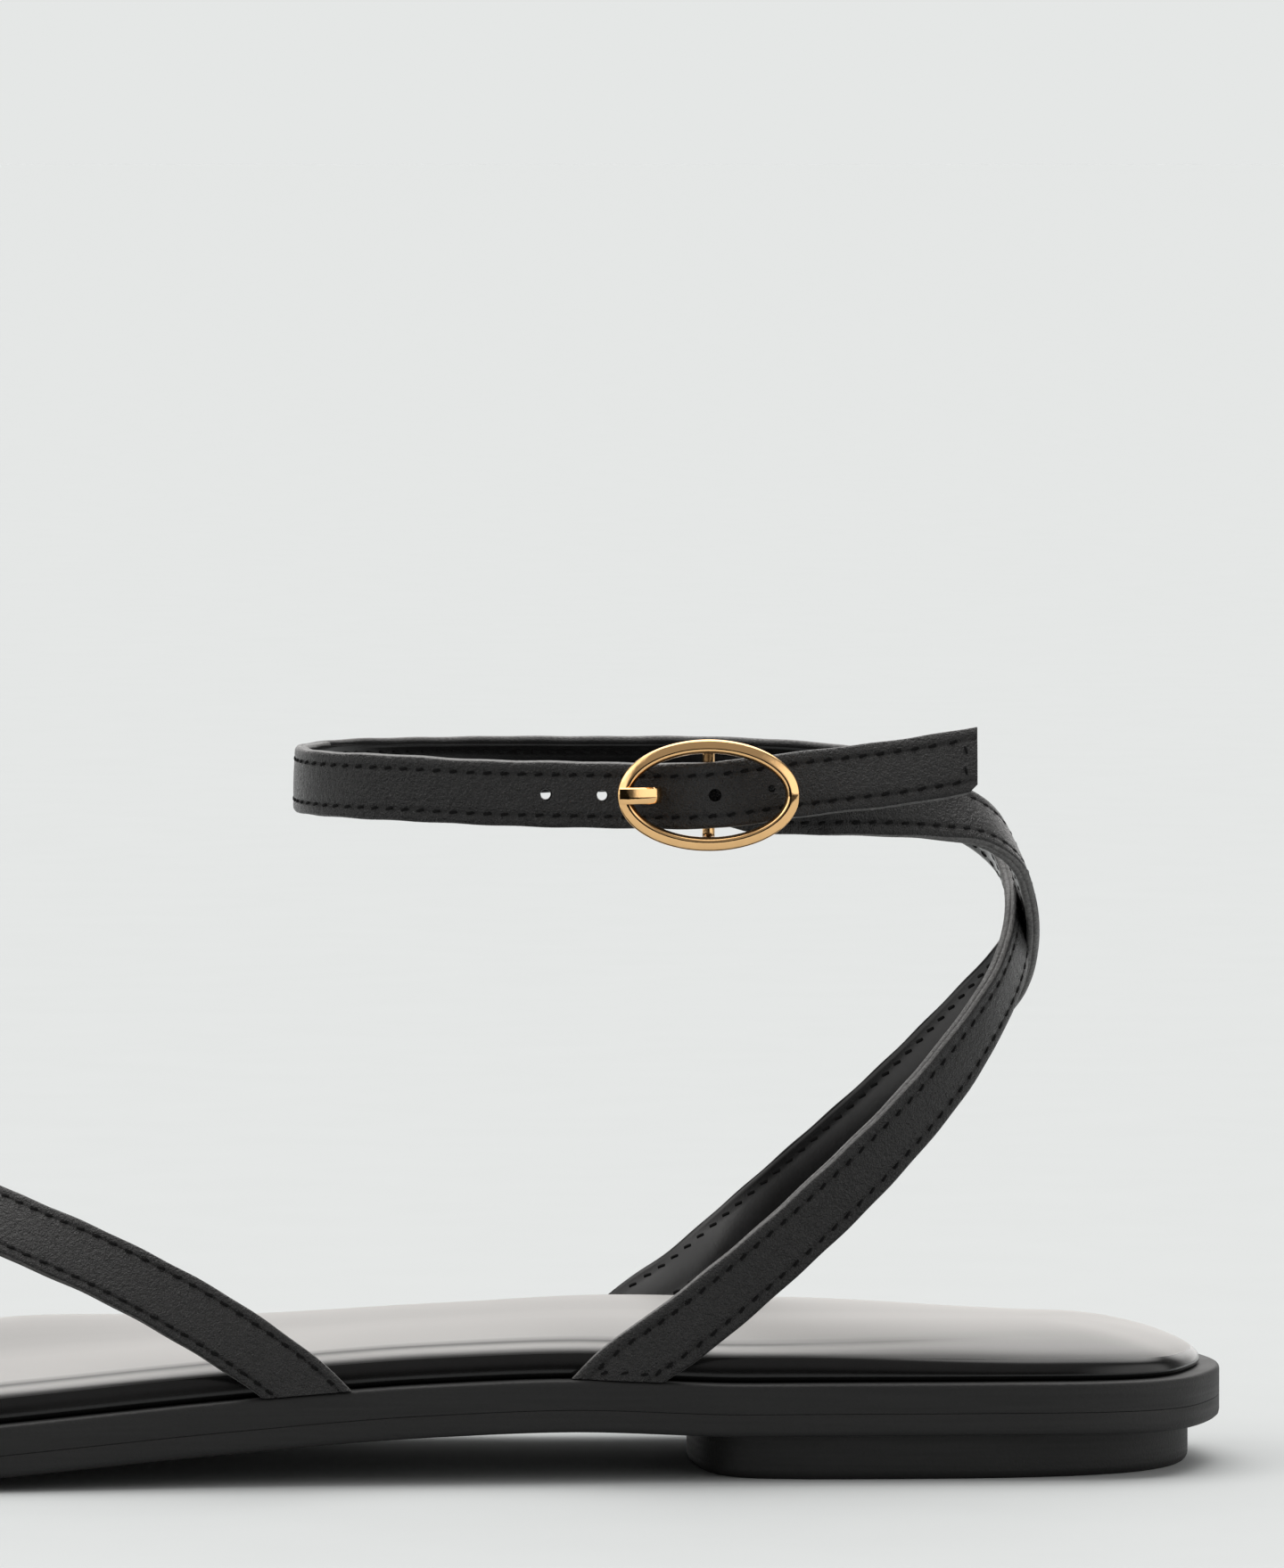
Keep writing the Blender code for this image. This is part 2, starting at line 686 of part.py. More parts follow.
def build_buckle(parts, cutters):
    x, y, z = BUCKLE_CENTRE
    rim = BUCKLE_RIM / 2
    a, b = BUCKLE_LENGTH / 2 - rim, BUCKLE_HEIGHT / 2 - rim
    pull = 0.5523
    oval = [
        ((x + a, y, z), (0, 0, pull * b)),
        ((x, y, z + b), (-pull * a, 0, 0)),
        ((x - a, y, z), (0, 0, -pull * b)),
        ((x, y, z - b), (pull * a, 0, 0)),
    ]
    buckle = finish(round_wire("buckle", parts, "BEZIER", oval, rim, closed=True))
    staple = [
        (x, y, z + b - 0.1),
        (x, BAR_Y, z + BAR_SHOULDER),
        (x, BAR_Y, z - BAR_SHOULDER),
        (x, y, z - b + 0.1),
    ]
    bar = hide_cutter(round_wire("buckle bar", cutters, "POLY", staple, BAR_RADIUS))
    boolean(buckle, bar, "UNION")

    radius = BAR_RADIUS + SEAT_GAP + PRONG_THICK / 2
    rows = []
    for degrees in range(560, 279, -28):
        angle = math.radians(degrees)
        out = Vector((math.cos(angle), math.sin(angle), 0))
        rows.append((Vector((x, BAR_Y, z)) + out * radius, out, PRONG_WIDTH, PRONG_THICK))
    for px, py in PRONG_PATH[1:]:
        rows.append((Vector((px, py, z)), Vector((0, -1, 0)), PRONG_WIDTH, PRONG_THICK))
    finish(mesh_object(ribbon(rows), "buckle_prong", parts))


def main():
    clear_old_scene()
    scene = bpy.context.scene
    parts = bpy.data.collections.new("strappy sandal")
    cutters = bpy.data.collections.new("cutters")
    scene.collection.children.link(parts)
    scene.collection.children.link(cutters)
    build_sole(parts)
    build_insole(parts, cutters)
    build_straps(parts, cutters)
    build_buckle(parts, cutters)



main()
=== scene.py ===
"""Flat strappy sandal, dressed: leather straps with sewn edges, a padded insole, a layered sole and a gilt buckle.

Frame: +Z up, +X towards the heel, -X towards the toe, -Y the outer (buckle) side of the foot.
Tables and modelling are in millimetres; every piece is scaled to metres when it is finished.
"""

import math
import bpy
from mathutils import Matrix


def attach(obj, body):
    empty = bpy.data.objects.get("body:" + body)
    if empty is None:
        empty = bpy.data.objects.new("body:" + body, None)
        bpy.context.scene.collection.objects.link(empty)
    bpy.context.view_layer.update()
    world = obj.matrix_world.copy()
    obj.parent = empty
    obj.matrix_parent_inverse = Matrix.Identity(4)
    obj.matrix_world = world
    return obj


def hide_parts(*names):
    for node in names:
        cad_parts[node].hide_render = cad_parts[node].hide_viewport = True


bl_info = {
    "name": "Strappy Sandal",
    "version": (1, 0, 0),
    "blender": (4, 5, 0),
    "location": "View3D > Sidebar > Sandal",
    "description": "Builds the looks of a flat strappy sandal round its fixed frame",
    "category": "Object",
}

import bmesh
import bpy
import numpy as np
from mathutils import Matrix, Vector

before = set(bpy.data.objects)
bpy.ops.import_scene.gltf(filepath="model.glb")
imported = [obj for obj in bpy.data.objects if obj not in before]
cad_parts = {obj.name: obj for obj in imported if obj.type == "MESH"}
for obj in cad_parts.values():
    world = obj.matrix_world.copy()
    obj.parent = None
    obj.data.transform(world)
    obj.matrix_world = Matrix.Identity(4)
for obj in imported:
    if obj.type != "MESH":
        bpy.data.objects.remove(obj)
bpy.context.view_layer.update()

MM = 0.001
BODY = "root"
# Corners nearer than this are at the same place
CLOSE = 0.001

# Levels of the sole's layers above the underside of the outsole
OUTSOLE_TOP = 2.77
MIDSOLE_LOW = 2.79
MIDSOLE_TOP = 6.4
INSOLE_LOW = 6.45
SOLE_LENGTH = 245.0

# The sole's outline, once round: distance from the heel, and side (outer side negative).
OUTLINE = (
    (0.0, 0.0), (2.0, -11.6), (6.4, -20.4), (15.0, -24.8), (30.0, -26.4), (52.0, -27.6), (84.0, -29.6),
    (120.0, -33.4), (150.0, -38.8), (174.0, -41.6), (200.0, -39.2), (223.0, -29.5), (238.5, -13.5),
    (245.0, 5.0), (239.5, 22.5), (222.0, 35.0), (200.0, 40.4), (176.0, 41.6), (150.0, 38.2), (120.0, 30.4),
    (92.0, 27.0), (52.0, 27.8), (30.0, 26.8), (15.0, 25.2), (6.2, 20.8), (2.0, 12.0),
)
POINTS_PER_SPAN = 14
SPINE_ENDS = (26.0, 208.0)

# Height of the outsole's underside: distance from the heel, height.
SOLE_PROFILE = (
    (0.0, 5.5), (58.0, 5.5), (80.0, 6.2), (97.0, 5.7), (120.0, 4.1), (148.0, 1.7), (168.0, 0.0), (204.0, 0.0),
    (228.0, 1.9), (245.0, 4.6),
)

# Section rows of the sole's layers: set in from the outline, and level. A layer is closed by a small loop that
# is this share of the way on to the middle.
MIDDLE_SHARE = 0.9
OUTSOLE_SECTION = (
    (8.0, 0.0), (7.7, 0.35), (6.8, 0.35), (6.5, 0.0), (0.95, 0.0), (0.42, 0.10), (0.10, 0.38), (0.0, 0.85),
    (0.0, 2.68), (0.02, 2.74), (0.08, OUTSOLE_TOP), (6.0, OUTSOLE_TOP),
)
MIDSOLE_SECTION = (
    (6.0, MIDSOLE_LOW), (0.08, MIDSOLE_LOW), (0.02, 2.82), (0.0, 2.88), (0.0, 5.80), (0.06, 6.10), (0.22, 6.31),
    (0.50, MIDSOLE_TOP), (8.0, MIDSOLE_TOP),
)
# A face that looks down more than this belongs to the tread
TREAD_NORMAL = -0.9

# The heel block's outline, once round: distance from the back of the sole, and side.
HEEL_OUTLINE = (
    (3.9, 0.0), (5.4, -8.6), (10.0, -16.0), (17.6, -20.8), (28.0, -23.5), (40.0, -24.6), (52.0, -24.8), (59.4, -23.2),
    (63.4, -18.2), (65.3, -9.6), (65.9, 0.0), (65.3, 9.6), (63.4, 18.4), (59.4, 23.4), (52.0, 25.0), (40.0, 24.8),
    (28.0, 23.8), (17.6, 21.2), (10.0, 16.2), (5.4, 8.8),
)
HEEL_POINTS = 8
HEEL_TOP = 5.45
HEEL_ROUND = 1.1
HEEL_ROUND_STEPS = 5
# The tread of the heel: set in from its edge, then the width and depth of the step down to it
HEEL_TREAD = (2.4, 0.5, -0.3)

# The padded insole from its seat to its crown. Each row: set in from the widest line and height on the outer
# side; set in and share of the thickness on the inner side; the same round the heel.
INSOLE_SET_IN = 2.5
INSOLE_SECTION = (
    (0.8, 0.0, 1.3, 0.0, 0.8, 0.0), (0.15, 0.28, 0.5, 0.08, 0.15, 0.05), (0.0, 0.9, 0.10, 0.20, 0.0, 0.14),
    (0.08, 1.75, 0.0, 0.30, 0.14, 0.26), (0.28, 2.45, 0.12, 0.45, 0.45, 0.36), (0.55, 2.98, 0.35, 0.58, 1.1, 0.46),
    (1.0, 3.40, 0.8, 0.69, 2.3, 0.57), (2.0, 3.70, 1.7, 0.79, 4.2, 0.67), (4.2, 3.94, 4.0, 0.87, 6.8, 0.77),
    (5.0, 4.25, 5.0, 0.89, 8.6, 0.825),
)
# Above it: share of the way to the middle, then the share of what is left to rise on the outer side, and the
# share of the thickness on the inner side and round the heel.
INSOLE_CROWN = (
    (0.12, 0.22, 0.925, 0.88), (0.25, 0.42, 0.955, 0.92), (0.4, 0.62, 0.98, 0.955), (0.56, 0.8, 0.995, 0.98),
    (0.72, 0.92, 1.0, 0.995), (0.88, 1.0, 1.0, 1.0),
)
INSOLE_STEPS = 3
# Where the outer section turns into the inner one across the shoe, and into the heel's from the back of the sole
INSOLE_INNER = (-14.0, 14.0)
INSOLE_HEEL = (58.0, 22.0)
# Rows up to which the cover is drawn tight and glossy
INSOLE_TIGHT_ROWS = 16
INSOLE_SHARP = 80.0
# Distance from the heel, thickness along the middle, and how much the inner edge is lifted
INSOLE_SWELL = (
    (0.0, 3.8, 0.0), (8.0, 5.0, 0.3), (20.0, 5.6, 0.9), (42.0, 5.7, 1.8), (64.0, 5.6, 2.0), (97.0, 4.9, 1.5),
    (120.0, 4.6, 1.6), (150.0, 4.6, 3.0), (180.0, 4.5, 3.0), (212.0, 4.4, 0.6), (245.0, 3.8, 0.0),
)
INNER_RISE_REACH = 34.0

# The ankle part of the last by height: back, front, outer and inner reach.
ANKLE_FORM = (
    (0.0, 96.6, 8.6, 27.2, 25.3), (16.0, 96.6, 8.6, 27.2, 25.3), (45.0, 96.8, 8.6, 27.0, 26.2),
    (66.0, 96.6, 8.4, 26.6, 26.6), (84.0, 95.6, 9.8, 26.6, 27.0), (100.0, 95.0, 11.0, 26.6, 27.0),
)
ANKLE_SQUARENESS = 2.4
ANKLE_POINTS = 900

# Strap routes round the ankle: turn from the back of the heel (inner side positive), height, lift off the
# last, and lean of the strap's face upwards.
LONG_STRAP = (
    (-101.0, 5.5, 0.0, 0.0), (-88.0, 18.0, 0.0, -4.0), (-70.5, 30.8, 0.0, -9.0), (-50.0, 43.6, 0.0, -12.0),
    (-27.0, 56.0, 0.0, -9.0), (-10.0, 63.2, 0.0, 5.0), (6.0, 69.8, 0.0, 18.0), (22.0, 75.8, 0.0, 33.0),
    (38.0, 80.2, 0.0, 27.0), (62.0, 83.5, 0.0, 27.0), (92.0, 84.6, 0.0, 34.0), (135.0, 84.5, 0.0, 24.0),
    (180.0, 84.3, 0.0, 2.0), (222.0, 84.3, 0.0, -5.0), (246.0, 83.9, 0.1, -6.0), (256.0, 83.8, 0.6, -6.0),
)
# Its free end, over the bar of the buckle and on to the tip.
LONG_STRAP_END = (
    (44.0, -28.5, 83.8), (49.3, -29.8, 83.75), (53.4, -31.0, 83.75), (56.0, -32.2, 83.8), (59.35, -32.8, 83.9),
    (62.7, -32.2, 84.2), (65.3, -31.0, 84.5), (69.5, -29.7, 85.0), (74.0, -29.3, 85.5), (82.0, -29.0, 86.4),
    (94.0, -28.2, 88.4),
)
END_POINTS = 240
STRAP_TIP_X = 91.7
# The tip's eased corner: how far before the tip the slanted cut passes, at which height
TIP_CORNER = (0.9, 84.2)
# The strap's end lies outwards of this side and above this height, and its corner within this reach of the tip
END_REGION = (-20.0, 78.0)
CORNER_REGION = (6.0, -24.0, 82.0)
# How far its face leans upwards along the end
END_LEAN = ((44.0, -6.0), (55.0, -3.0), (63.0, 3.0), (71.0, 10.0), (79.0, 13.0), (94.0, 14.0))
BUCKLE_STRAP = (
    (102.5, 5.5, 0.4, -42.0), (89.5, 18.3, 1.0, -46.0), (72.0, 31.1, 0.5, -12.0), (51.5, 43.4, 0.0, -1.0),
    (28.0, 55.2, 0.5, 0.0), (12.0, 61.6, 1.15, 4.0), (0.0, 67.0, 1.25, 10.0), (-11.0, 72.4, 1.3, 24.0),
    (-20.0, 76.9, 1.5, 34.0), (-30.0, 80.1, 0.8, 34.0), (-43.0, 81.8, 0.1, 20.0), (-56.0, 82.5, 0.0, 12.0),
    (-66.0, 82.7, 0.0, 8.0),
)
# Its end: skived thinner (x, y, z, width, thickness), round the bar of the buckle and back on itself.
BUCKLE_STRAP_LEAD = (
    (70.2, -26.7, 82.8, 8.0, 1.6), (67.4, -27.7, 82.9, 8.0, 1.4), (64.4, -29.1, 83.1, 7.8, 1.1),
    (61.9, -30.4, 83.6, 7.1, 1.0),
)
LOOP_WIDTH = 7.0
LOOP_THICK = 1.0
LOOP_GAP = 0.3
# Degrees round the bar: from, to and step
LOOP_ANGLES = (285, 84, -10)
LOOP_END_X = 64.2
# The slot in the fold that the prong comes out of: size, and shift from the bar
LOOP_SLOT = (3.6, 12.0, 2.8)
LOOP_SLOT_SHIFT = -1.7
LEAD_POINTS = 8
# The strap over the forefoot, from the outer waist to the inner ball.
VAMP_STRAP = (
    (16.0, -31.2, 5.0), (10.6, -31.6, 11.4), (-0.2, -32.2, 19.2), (-13.2, -31.4, 26.3), (-26.2, -27.8, 31.7),
    (-38.0, -19.5, 36.6), (-48.0, -7.5, 39.8), (-56.5, 8.0, 39.4), (-63.0, 23.0, 33.6), (-67.5, 35.6, 23.4),
    (-70.0, 40.1, 11.5), (-71.0, 40.2, 1.5),
)
VAMP_POINTS = 30
# Oval section of the last under it: middle, half width and half height
VAMP_CENTRE = (4.0, 6.0)
VAMP_HALF_WIDTH = 36.0
VAMP_HALF_HEIGHT = 44.0
# Its stitches lie nearer to its edges than those of the ankle straps, by this share
VAMP_HEM = 0.76

# Where along the shoe the straps' feet stand on the ledge, and what counts as a foot
VAMP_FEET = (10.6, -70.4)
LONG_STRAP_FOOT = 50.6
BUCKLE_STRAP_FOOT = 49.2
FOOT_REACH = 30.0
FOOT_HEIGHT = 40.0
FOOT_GAP = 0.05
LEDGE_STEP = 4.0

# Half a strap's section, from the middle of its outer face to the middle of its lining: distance from the
# edge, share of half the thickness, how far a needle hole sinks it, and the finish up to the next row.
STRAP_SECTION = (
    (4.0, 1.09, 0.0, "face"), (3.0, 1.08, 0.0, "face"), (2.2, 1.05, 0.0, "face"), (1.8, 1.02, 0.01, "face"),
    (1.5, 0.91, 0.10, "face"), (1.2, 1.0, 0.02, "face"), (0.75, 1.02, 0.0, "face"), (0.32, 0.97, 0.0, "face"),
    (0.09, 0.78, 0.0, "edge"), (0.0, 0.45, 0.0, "edge"), (0.0, 0.12, 0.0, "edge"), (0.07, 0.02, 0.0, "inner edge"),
    (0.0, -0.08, 0.0, "inner edge"), (0.0, -0.45, 0.0, "inner edge"), (0.09, -0.78, 0.0, "inner edge"),
    (0.32, -0.95, 0.0, "lining"), (0.85, -1.0, 0.0, "lining"), (1.5, -0.88, -0.16, "lining"),
    (2.15, -1.0, 0.0, "lining"), (4.0, -1.02, 0.0, "lining"),
)
STRAP_FINISHES = ("face", "edge", "lining", "inner edge")
# The inner half of a cut edge takes the edge paint on the outer side of the shoe; beyond this line it is painted
# darker, in the lining's colour with little gloss, as painted shade on the far side
SHADED_EDGE_Y = 11.0
# Rows nearer to the edge than this sway with the cut: waves as height, turn from step to step, and start
CUT_ROWS = 0.1
CUT_WAVES = ((0.04, 0.83, 0.0), (0.03, 0.31, 1.0))
EVENING_ROUNDS = 8
# Edges that turn by more degrees than this are shaded sharp
SHARP = 40.0
STRAP_SHARP = 50.0

HOLE_PITCH = 6.85
HOLE_MIDDLE_X = 53.1
HOLE_STEPS = ((-2, 1.0), (-1, 1.0), (1, 1.0), (2, 0.55))
# The punch: share of the hole's radius, and depth
PUNCH_PROFILE = (
    (0.0, 3.0), (1.0, 3.0), (1.0, -0.62), (1.08, -0.78), (1.28, -0.94), (1.28, -3.0), (0.0, -3.0),
)
PUNCH_STEPS = 20
# The prong's hole: place along the shoe, length, depth and height
PRONG_SLOT = (53.0, 0.7, 7.0, 1.7)
OUTER_RUN_LOW = 79.0

# One stitch: share of its length, rise in millimetres, share of the thread's thickness
STITCH_PROFILE = (
    (-0.5, -0.34, 0.8), (-0.39, -0.02, 1.0), (-0.16, 0.05, 1.0), (0.16, 0.05, 1.0), (0.39, -0.02, 1.0),
    (0.5, -0.34, 0.8),
)
STITCH_SIDES = 6
STITCH_FLATNESS = 0.75
STITCH_SHARE = 0.55
STITCH_LEVEL = 0.9
STITCH_TILT = 0.28
CROSS_LIFT = 0.06
ROW_STEP = 0.05
# Where rows of stitches stop: above the ledge, before the tip, and at the loop (along the shoe, height)
ANKLE_ROW_FOOT = 0.85
VAMP_ROW_FOOT = 0.2
ROW_TIP = 1.4
ROW_LOOP = (68.0, 70.0)

BUCKLE_CENTRE = (59.15, -33.0, 83.95)
BAR_Y = -29.2
# Section of the buckle's wire in shares of its half thickness: outwards from the oval, and away from its front.
# Its front slopes up to a ridge near the inner edge.
RIM_SECTION = (
    (1.0, 0.0), (0.95, -0.22), (0.80, -0.42), (0.50, -0.64), (0.15, -0.86), (-0.10, -0.97), (-0.28, -1.0),
    (-0.48, -0.95), (-0.70, -0.76), (-0.90, -0.42), (-1.0, 0.0), (-0.87, 0.5), (-0.5, 0.87), (0.0, 1.0), (0.5, 0.87),
    (0.87, 0.5),
)
RIM_POINTS = 2
RIM_STEPS = 120
RIM_SHARP = 60.0
# The bar's wire: depth and height of its legs from the middle of the rim, then from the bar's shoulder
BAR_SHOULDER = 5.5
BAR_RADIUS = 0.75
BAR_SIDES = 16
RIM_LEG = ((0.0, -0.1), (1.6, -0.25))
BAR_LEG = ((-0.7, 0.1), (0.0, -0.8))
CURVE_POINTS = 6
PRONG_CORNER = 0.16
PRONG_SHARP = 35.0
# The ridge along the prong's front: its height, and its two sides in shares of half the width
PRONG_CROWN = 0.11
PRONG_RIDGE = (-0.3, -0.1)
# The prong's curl in degrees round the bar (from, to and step), and its path from there
PRONG_CURL = (560, 279, -14)
PRONG_PATH = (
    (57.6, -30.4), (55.6, -30.2), (54.0, -29.95), (53.4, -30.3), (53.2, -31.2), (53.05, -32.2), (52.75, -33.1),
    (52.15, -33.65), (51.2, -34.1), (50.2, -34.45), (49.4, -34.58), (48.4, -34.62),
)

# Studio light: the level all round, and patches of more light as direction, the cosines where the patch begins
# and is full, and its level. It is dark round the camera, and below the horizon past the floor's near end.
FLOOR_NEAR = 0.26
FLOOR_REACH = 30.0
FLOOR_CELLS = 8
AMBIENT = 0.14
LIGHTS = (
    ((0.0, 0.42, 0.907), 0.76, 0.93, 3.3),
    ((0.0, 1.0, 0.06), 0.78, 0.96, 1.5),
    ((0.0, -0.6, 0.8), 0.72, 0.9, 0.2),
    ((1.0, -0.35, 0.12), 0.6, 0.92, 1.3),
    ((-1.0, -0.25, 0.12), 0.75, 0.95, 1.4),
    ((-0.74, -0.05, 0.67), 0.88, 0.97, 1.6),
)
DARK_SIDE = ((0.0, -1.0, 0.02), 0.955, 0.985, 0.05)
BELOW = ((0.0, 0.0, 1.0), -0.06, 0.0, 0.04)
LIGHT_TINT = (1.0, 0.99, 0.975, 1.0)

# Camera: place, degrees below level, and focal length in pixels of a picture so many pixels high
CAMERA_PLACE = (0.0511, -1.5, 0.164)
CAMERA_DROP = 3.07
CAMERA_FOCAL = 13650
CAMERA_PIXELS = 1759
SENSOR = 36.0
CAMERA_END = 100.0


class SANDAL_PG_sizes(bpy.types.PropertyGroup):
    """Sizes of the sandal's made-up pieces"""

    strap_width: bpy.props.FloatProperty(
        name="Strap width", description="Width of every strap", default=0.008, min=0.004, unit="LENGTH")
    strap_thick: bpy.props.FloatProperty(
        name="Strap thickness", description="Outer leather and lining together", default=0.0017, unit="LENGTH")
    stitch_pitch: bpy.props.FloatProperty(
        name="Stitch pitch", description="From one needle hole to the next", default=0.00215, unit="LENGTH")
    stitch_inset: bpy.props.FloatProperty(
        name="Stitch inset", description="From the strap's edge to its row of stitches", default=0.0015, unit="LENGTH")
    thread: bpy.props.FloatProperty(
        name="Thread", description="Thickness of the sewing thread", default=0.0004, unit="LENGTH")
    hole: bpy.props.FloatProperty(
        name="Hole", description="Diameter of a punched hole", default=0.00124, unit="LENGTH")
    buckle_length: bpy.props.FloatProperty(
        name="Buckle length", description="The buckle's oval, along the strap", default=0.022, unit="LENGTH")
    buckle_height: bpy.props.FloatProperty(
        name="Buckle height", description="The buckle's oval, across the strap", default=0.0135, unit="LENGTH")
    buckle_rim: bpy.props.FloatProperty(
        name="Buckle rim", description="Thickness of the buckle's wire", default=0.0017, unit="LENGTH")
    prong_width: bpy.props.FloatProperty(
        name="Prong width", description="Width of the buckle's flat prong", default=0.002, unit="LENGTH")
    prong_thick: bpy.props.FloatProperty(
        name="Prong thickness", description="Thickness of the buckle's flat prong", default=0.0008, unit="LENGTH")


class SANDAL_PG_finishes(bpy.types.PropertyGroup):
    """Colours of the sandal and of the stage"""

    leather: bpy.props.FloatVectorProperty(
        name="Strap leather", description="Outer face of the straps", subtype="COLOR", default=(0.0068, 0.0064, 0.0065))
    lining: bpy.props.FloatVectorProperty(
        name="Lining", description="Inner face of the straps", subtype="COLOR", default=(0.0040, 0.0039, 0.0040))
    edge: bpy.props.FloatVectorProperty(
        name="Edge paint", description="Cut edges of the straps", subtype="COLOR", default=(0.055, 0.054, 0.053))
    insole: bpy.props.FloatVectorProperty(
        name="Insole leather", description="Cover of the padded insole", subtype="COLOR",
        default=(0.0035, 0.0034, 0.0034))
    sole: bpy.props.FloatVectorProperty(
        name="Sole", description="Layers of the sole and the heel", subtype="COLOR", default=(0.0105, 0.0105, 0.0105))
    thread: bpy.props.FloatVectorProperty(
        name="Thread", description="Sewing thread", subtype="COLOR", default=(0.0033, 0.0032, 0.0033))
    gilt: bpy.props.FloatVectorProperty(
        name="Gilt", description="Plating of the buckle", subtype="COLOR", default=(0.88, 0.545, 0.25))
    floor: bpy.props.FloatVectorProperty(
        name="Floor", description="The pale floor", subtype="COLOR", default=(0.535, 0.551, 0.554))
    backdrop: bpy.props.FloatVectorProperty(
        name="Backdrop", description="What is behind the floor", subtype="COLOR", default=(0.783, 0.799, 0.791))


def mm(length):
    """A length in millimetres."""
    return length / MM


def smooth(table, at):
    """Smooth curves through a table's columns, level between equal values, at places on its first column."""
    table = np.asarray(table, float)
    knots, values = table[:, 0], table[:, 1:]
    step = np.diff(knots)
    slope = np.diff(values, axis=0) / step[:, None]
    tangent = np.zeros_like(values)
    tangent[0], tangent[-1] = slope[0], slope[-1]
    for i in range(1, len(knots) - 1):
        same = slope[i - 1] * slope[i] > 0
        left, right = 2 * step[i] + step[i - 1], step[i] + 2 * step[i - 1]
        one, two = np.where(same, slope[i - 1], 1.0), np.where(same, slope[i], 1.0)
        tangent[i] = np.where(same, (left + right) / (left / one + right / two), 0.0)
    at = np.clip(np.atleast_1d(np.asarray(at, float)), knots[0], knots[-1])
    i = np.clip(np.searchsorted(knots, at, side="right") - 1, 0, len(step) - 1)
    t = ((at - knots[i]) / step[i])[:, None]
    h = step[i][:, None]
    start = (1 + 2 * t) * (1 - t) ** 2 * values[i] + t * (1 - t) ** 2 * h * tangent[i]
    return start + t * t * (3 - 2 * t) * values[i + 1] + t * t * (t - 1) * h * tangent[i + 1]


def unit(rows):
    """Directions of rows, each one long."""
    return rows / np.linalg.norm(rows, axis=1)[:, None]


def read_off(at, run, rows):
    """Rows of values at places along a run."""
    return np.array([np.interp(at, run, column) for column in rows.T]).T


def turns(count):
    """Angles at even steps once round."""
    return np.linspace(0, 2 * math.pi, count, endpoint=False)


def eased(value, start, end):
    """From 0 at start to 1 at end, level at both."""
    t = np.clip((value - start) / (end - start), 0, 1)
    return t * t * (3 - 2 * t)


def through(points, count, closed=False):
    """Points on an even curve (Catmull-Rom) through the given ones, count to each span."""
    points = np.asarray(points, float)
    n = len(points)
    found = []
    for i in range(n if closed else n - 1):
        near = [(i + k) % n if closed else min(max(i + k, 0), n - 1) for k in (-1, 0, 1, 2)]
        a, b, c, d = points[near]
        square, cubic = 2 * a - 5 * b + 4 * c - d, -a + 3 * b - 3 * c + d
        for t in np.arange(count) / count:
            found.append(0.5 * (2 * b + (c - a) * t + square * t * t + cubic * t ** 3))
    return np.array(found if closed else found + [points[-1]])


def sole_outline():
    """The sole's outline in plan, centred on the origin."""
    loop = through(OUTLINE, POINTS_PER_SPAN, closed=True)
    loop[:, 0] = loop[:, 0].max() - loop[:, 0]
    return loop - (loop.max(0) + loop.min(0)) / 2


def moved_in(outline, distance, share=0.0):
    """An outline moved towards the sole's middle line by a distance, then by a share of what is left."""
    middle = np.clip(outline[:, 0], SOLE_LENGTH / 2 - SPINE_ENDS[1], SOLE_LENGTH / 2 - SPINE_ENDS[0])
    spine = np.column_stack([middle, np.zeros(len(outline))])
    away = outline - spine
    reach = np.linalg.norm(away, axis=1)
    return spine + away * ((reach - distance) / reach * (1 - share))[:, None]


def sole_height(x):
    """Height of the outsole's underside."""
    return smooth(SOLE_PROFILE, SOLE_LENGTH / 2 - x)[:, 0]


def insole_thickness(x, y):
    """Thickness of the insole at its crown, with the lift of its inner edge by the ball."""
    thick, lift = smooth(INSOLE_SWELL, SOLE_LENGTH / 2 - x).T
    return thick + lift * eased(y, 0.0, INNER_RISE_REACH)


def sweep(rings, closed=False):
    """A solid drawn out of a loop by extruding it from each ring of places to the next."""
    bm = bmesh.new()
    place = bm.verts.layers.int.new("place")
    row = bm.verts.layers.int.new("row")
    loop = bmesh.ops.create_circle(bm, segments=len(rings[0]), radius=1.0)["verts"]
    for i, v in enumerate(loop):
        v[place] = i
        v.co = rings[0][i]
    first = edges = bm.edges[:]
    for number, ring in enumerate(rings[1:], 1):
        made = bmesh.ops.extrude_edge_only(bm, edges=edges)["geom"]
        for v in made:
            if isinstance(v, bmesh.types.BMVert):
                v.co = ring[v[place]]
                v[row] = number
        edges = [e for e in made if isinstance(e, bmesh.types.BMEdge)]
    if closed:
        bmesh.ops.bridge_loops(bm, edges=first + edges)
    else:
        for ends in (first, edges):
            bmesh.ops.contextual_create(bm, geom=ends)
    bmesh.ops.recalc_face_normals(bm, faces=bm.faces)
    return bm


def mesh_of(bm, name):
    """A mesh out of a bmesh, which is used up."""
    mesh = bpy.data.meshes.new(name)
    bm.to_mesh(mesh)
    bm.free()
    return mesh


def add_object(name, data):
    """A new object in the scene."""
    obj = bpy.data.objects.new(name, data)
    bpy.context.scene.collection.objects.link(obj)
    return obj


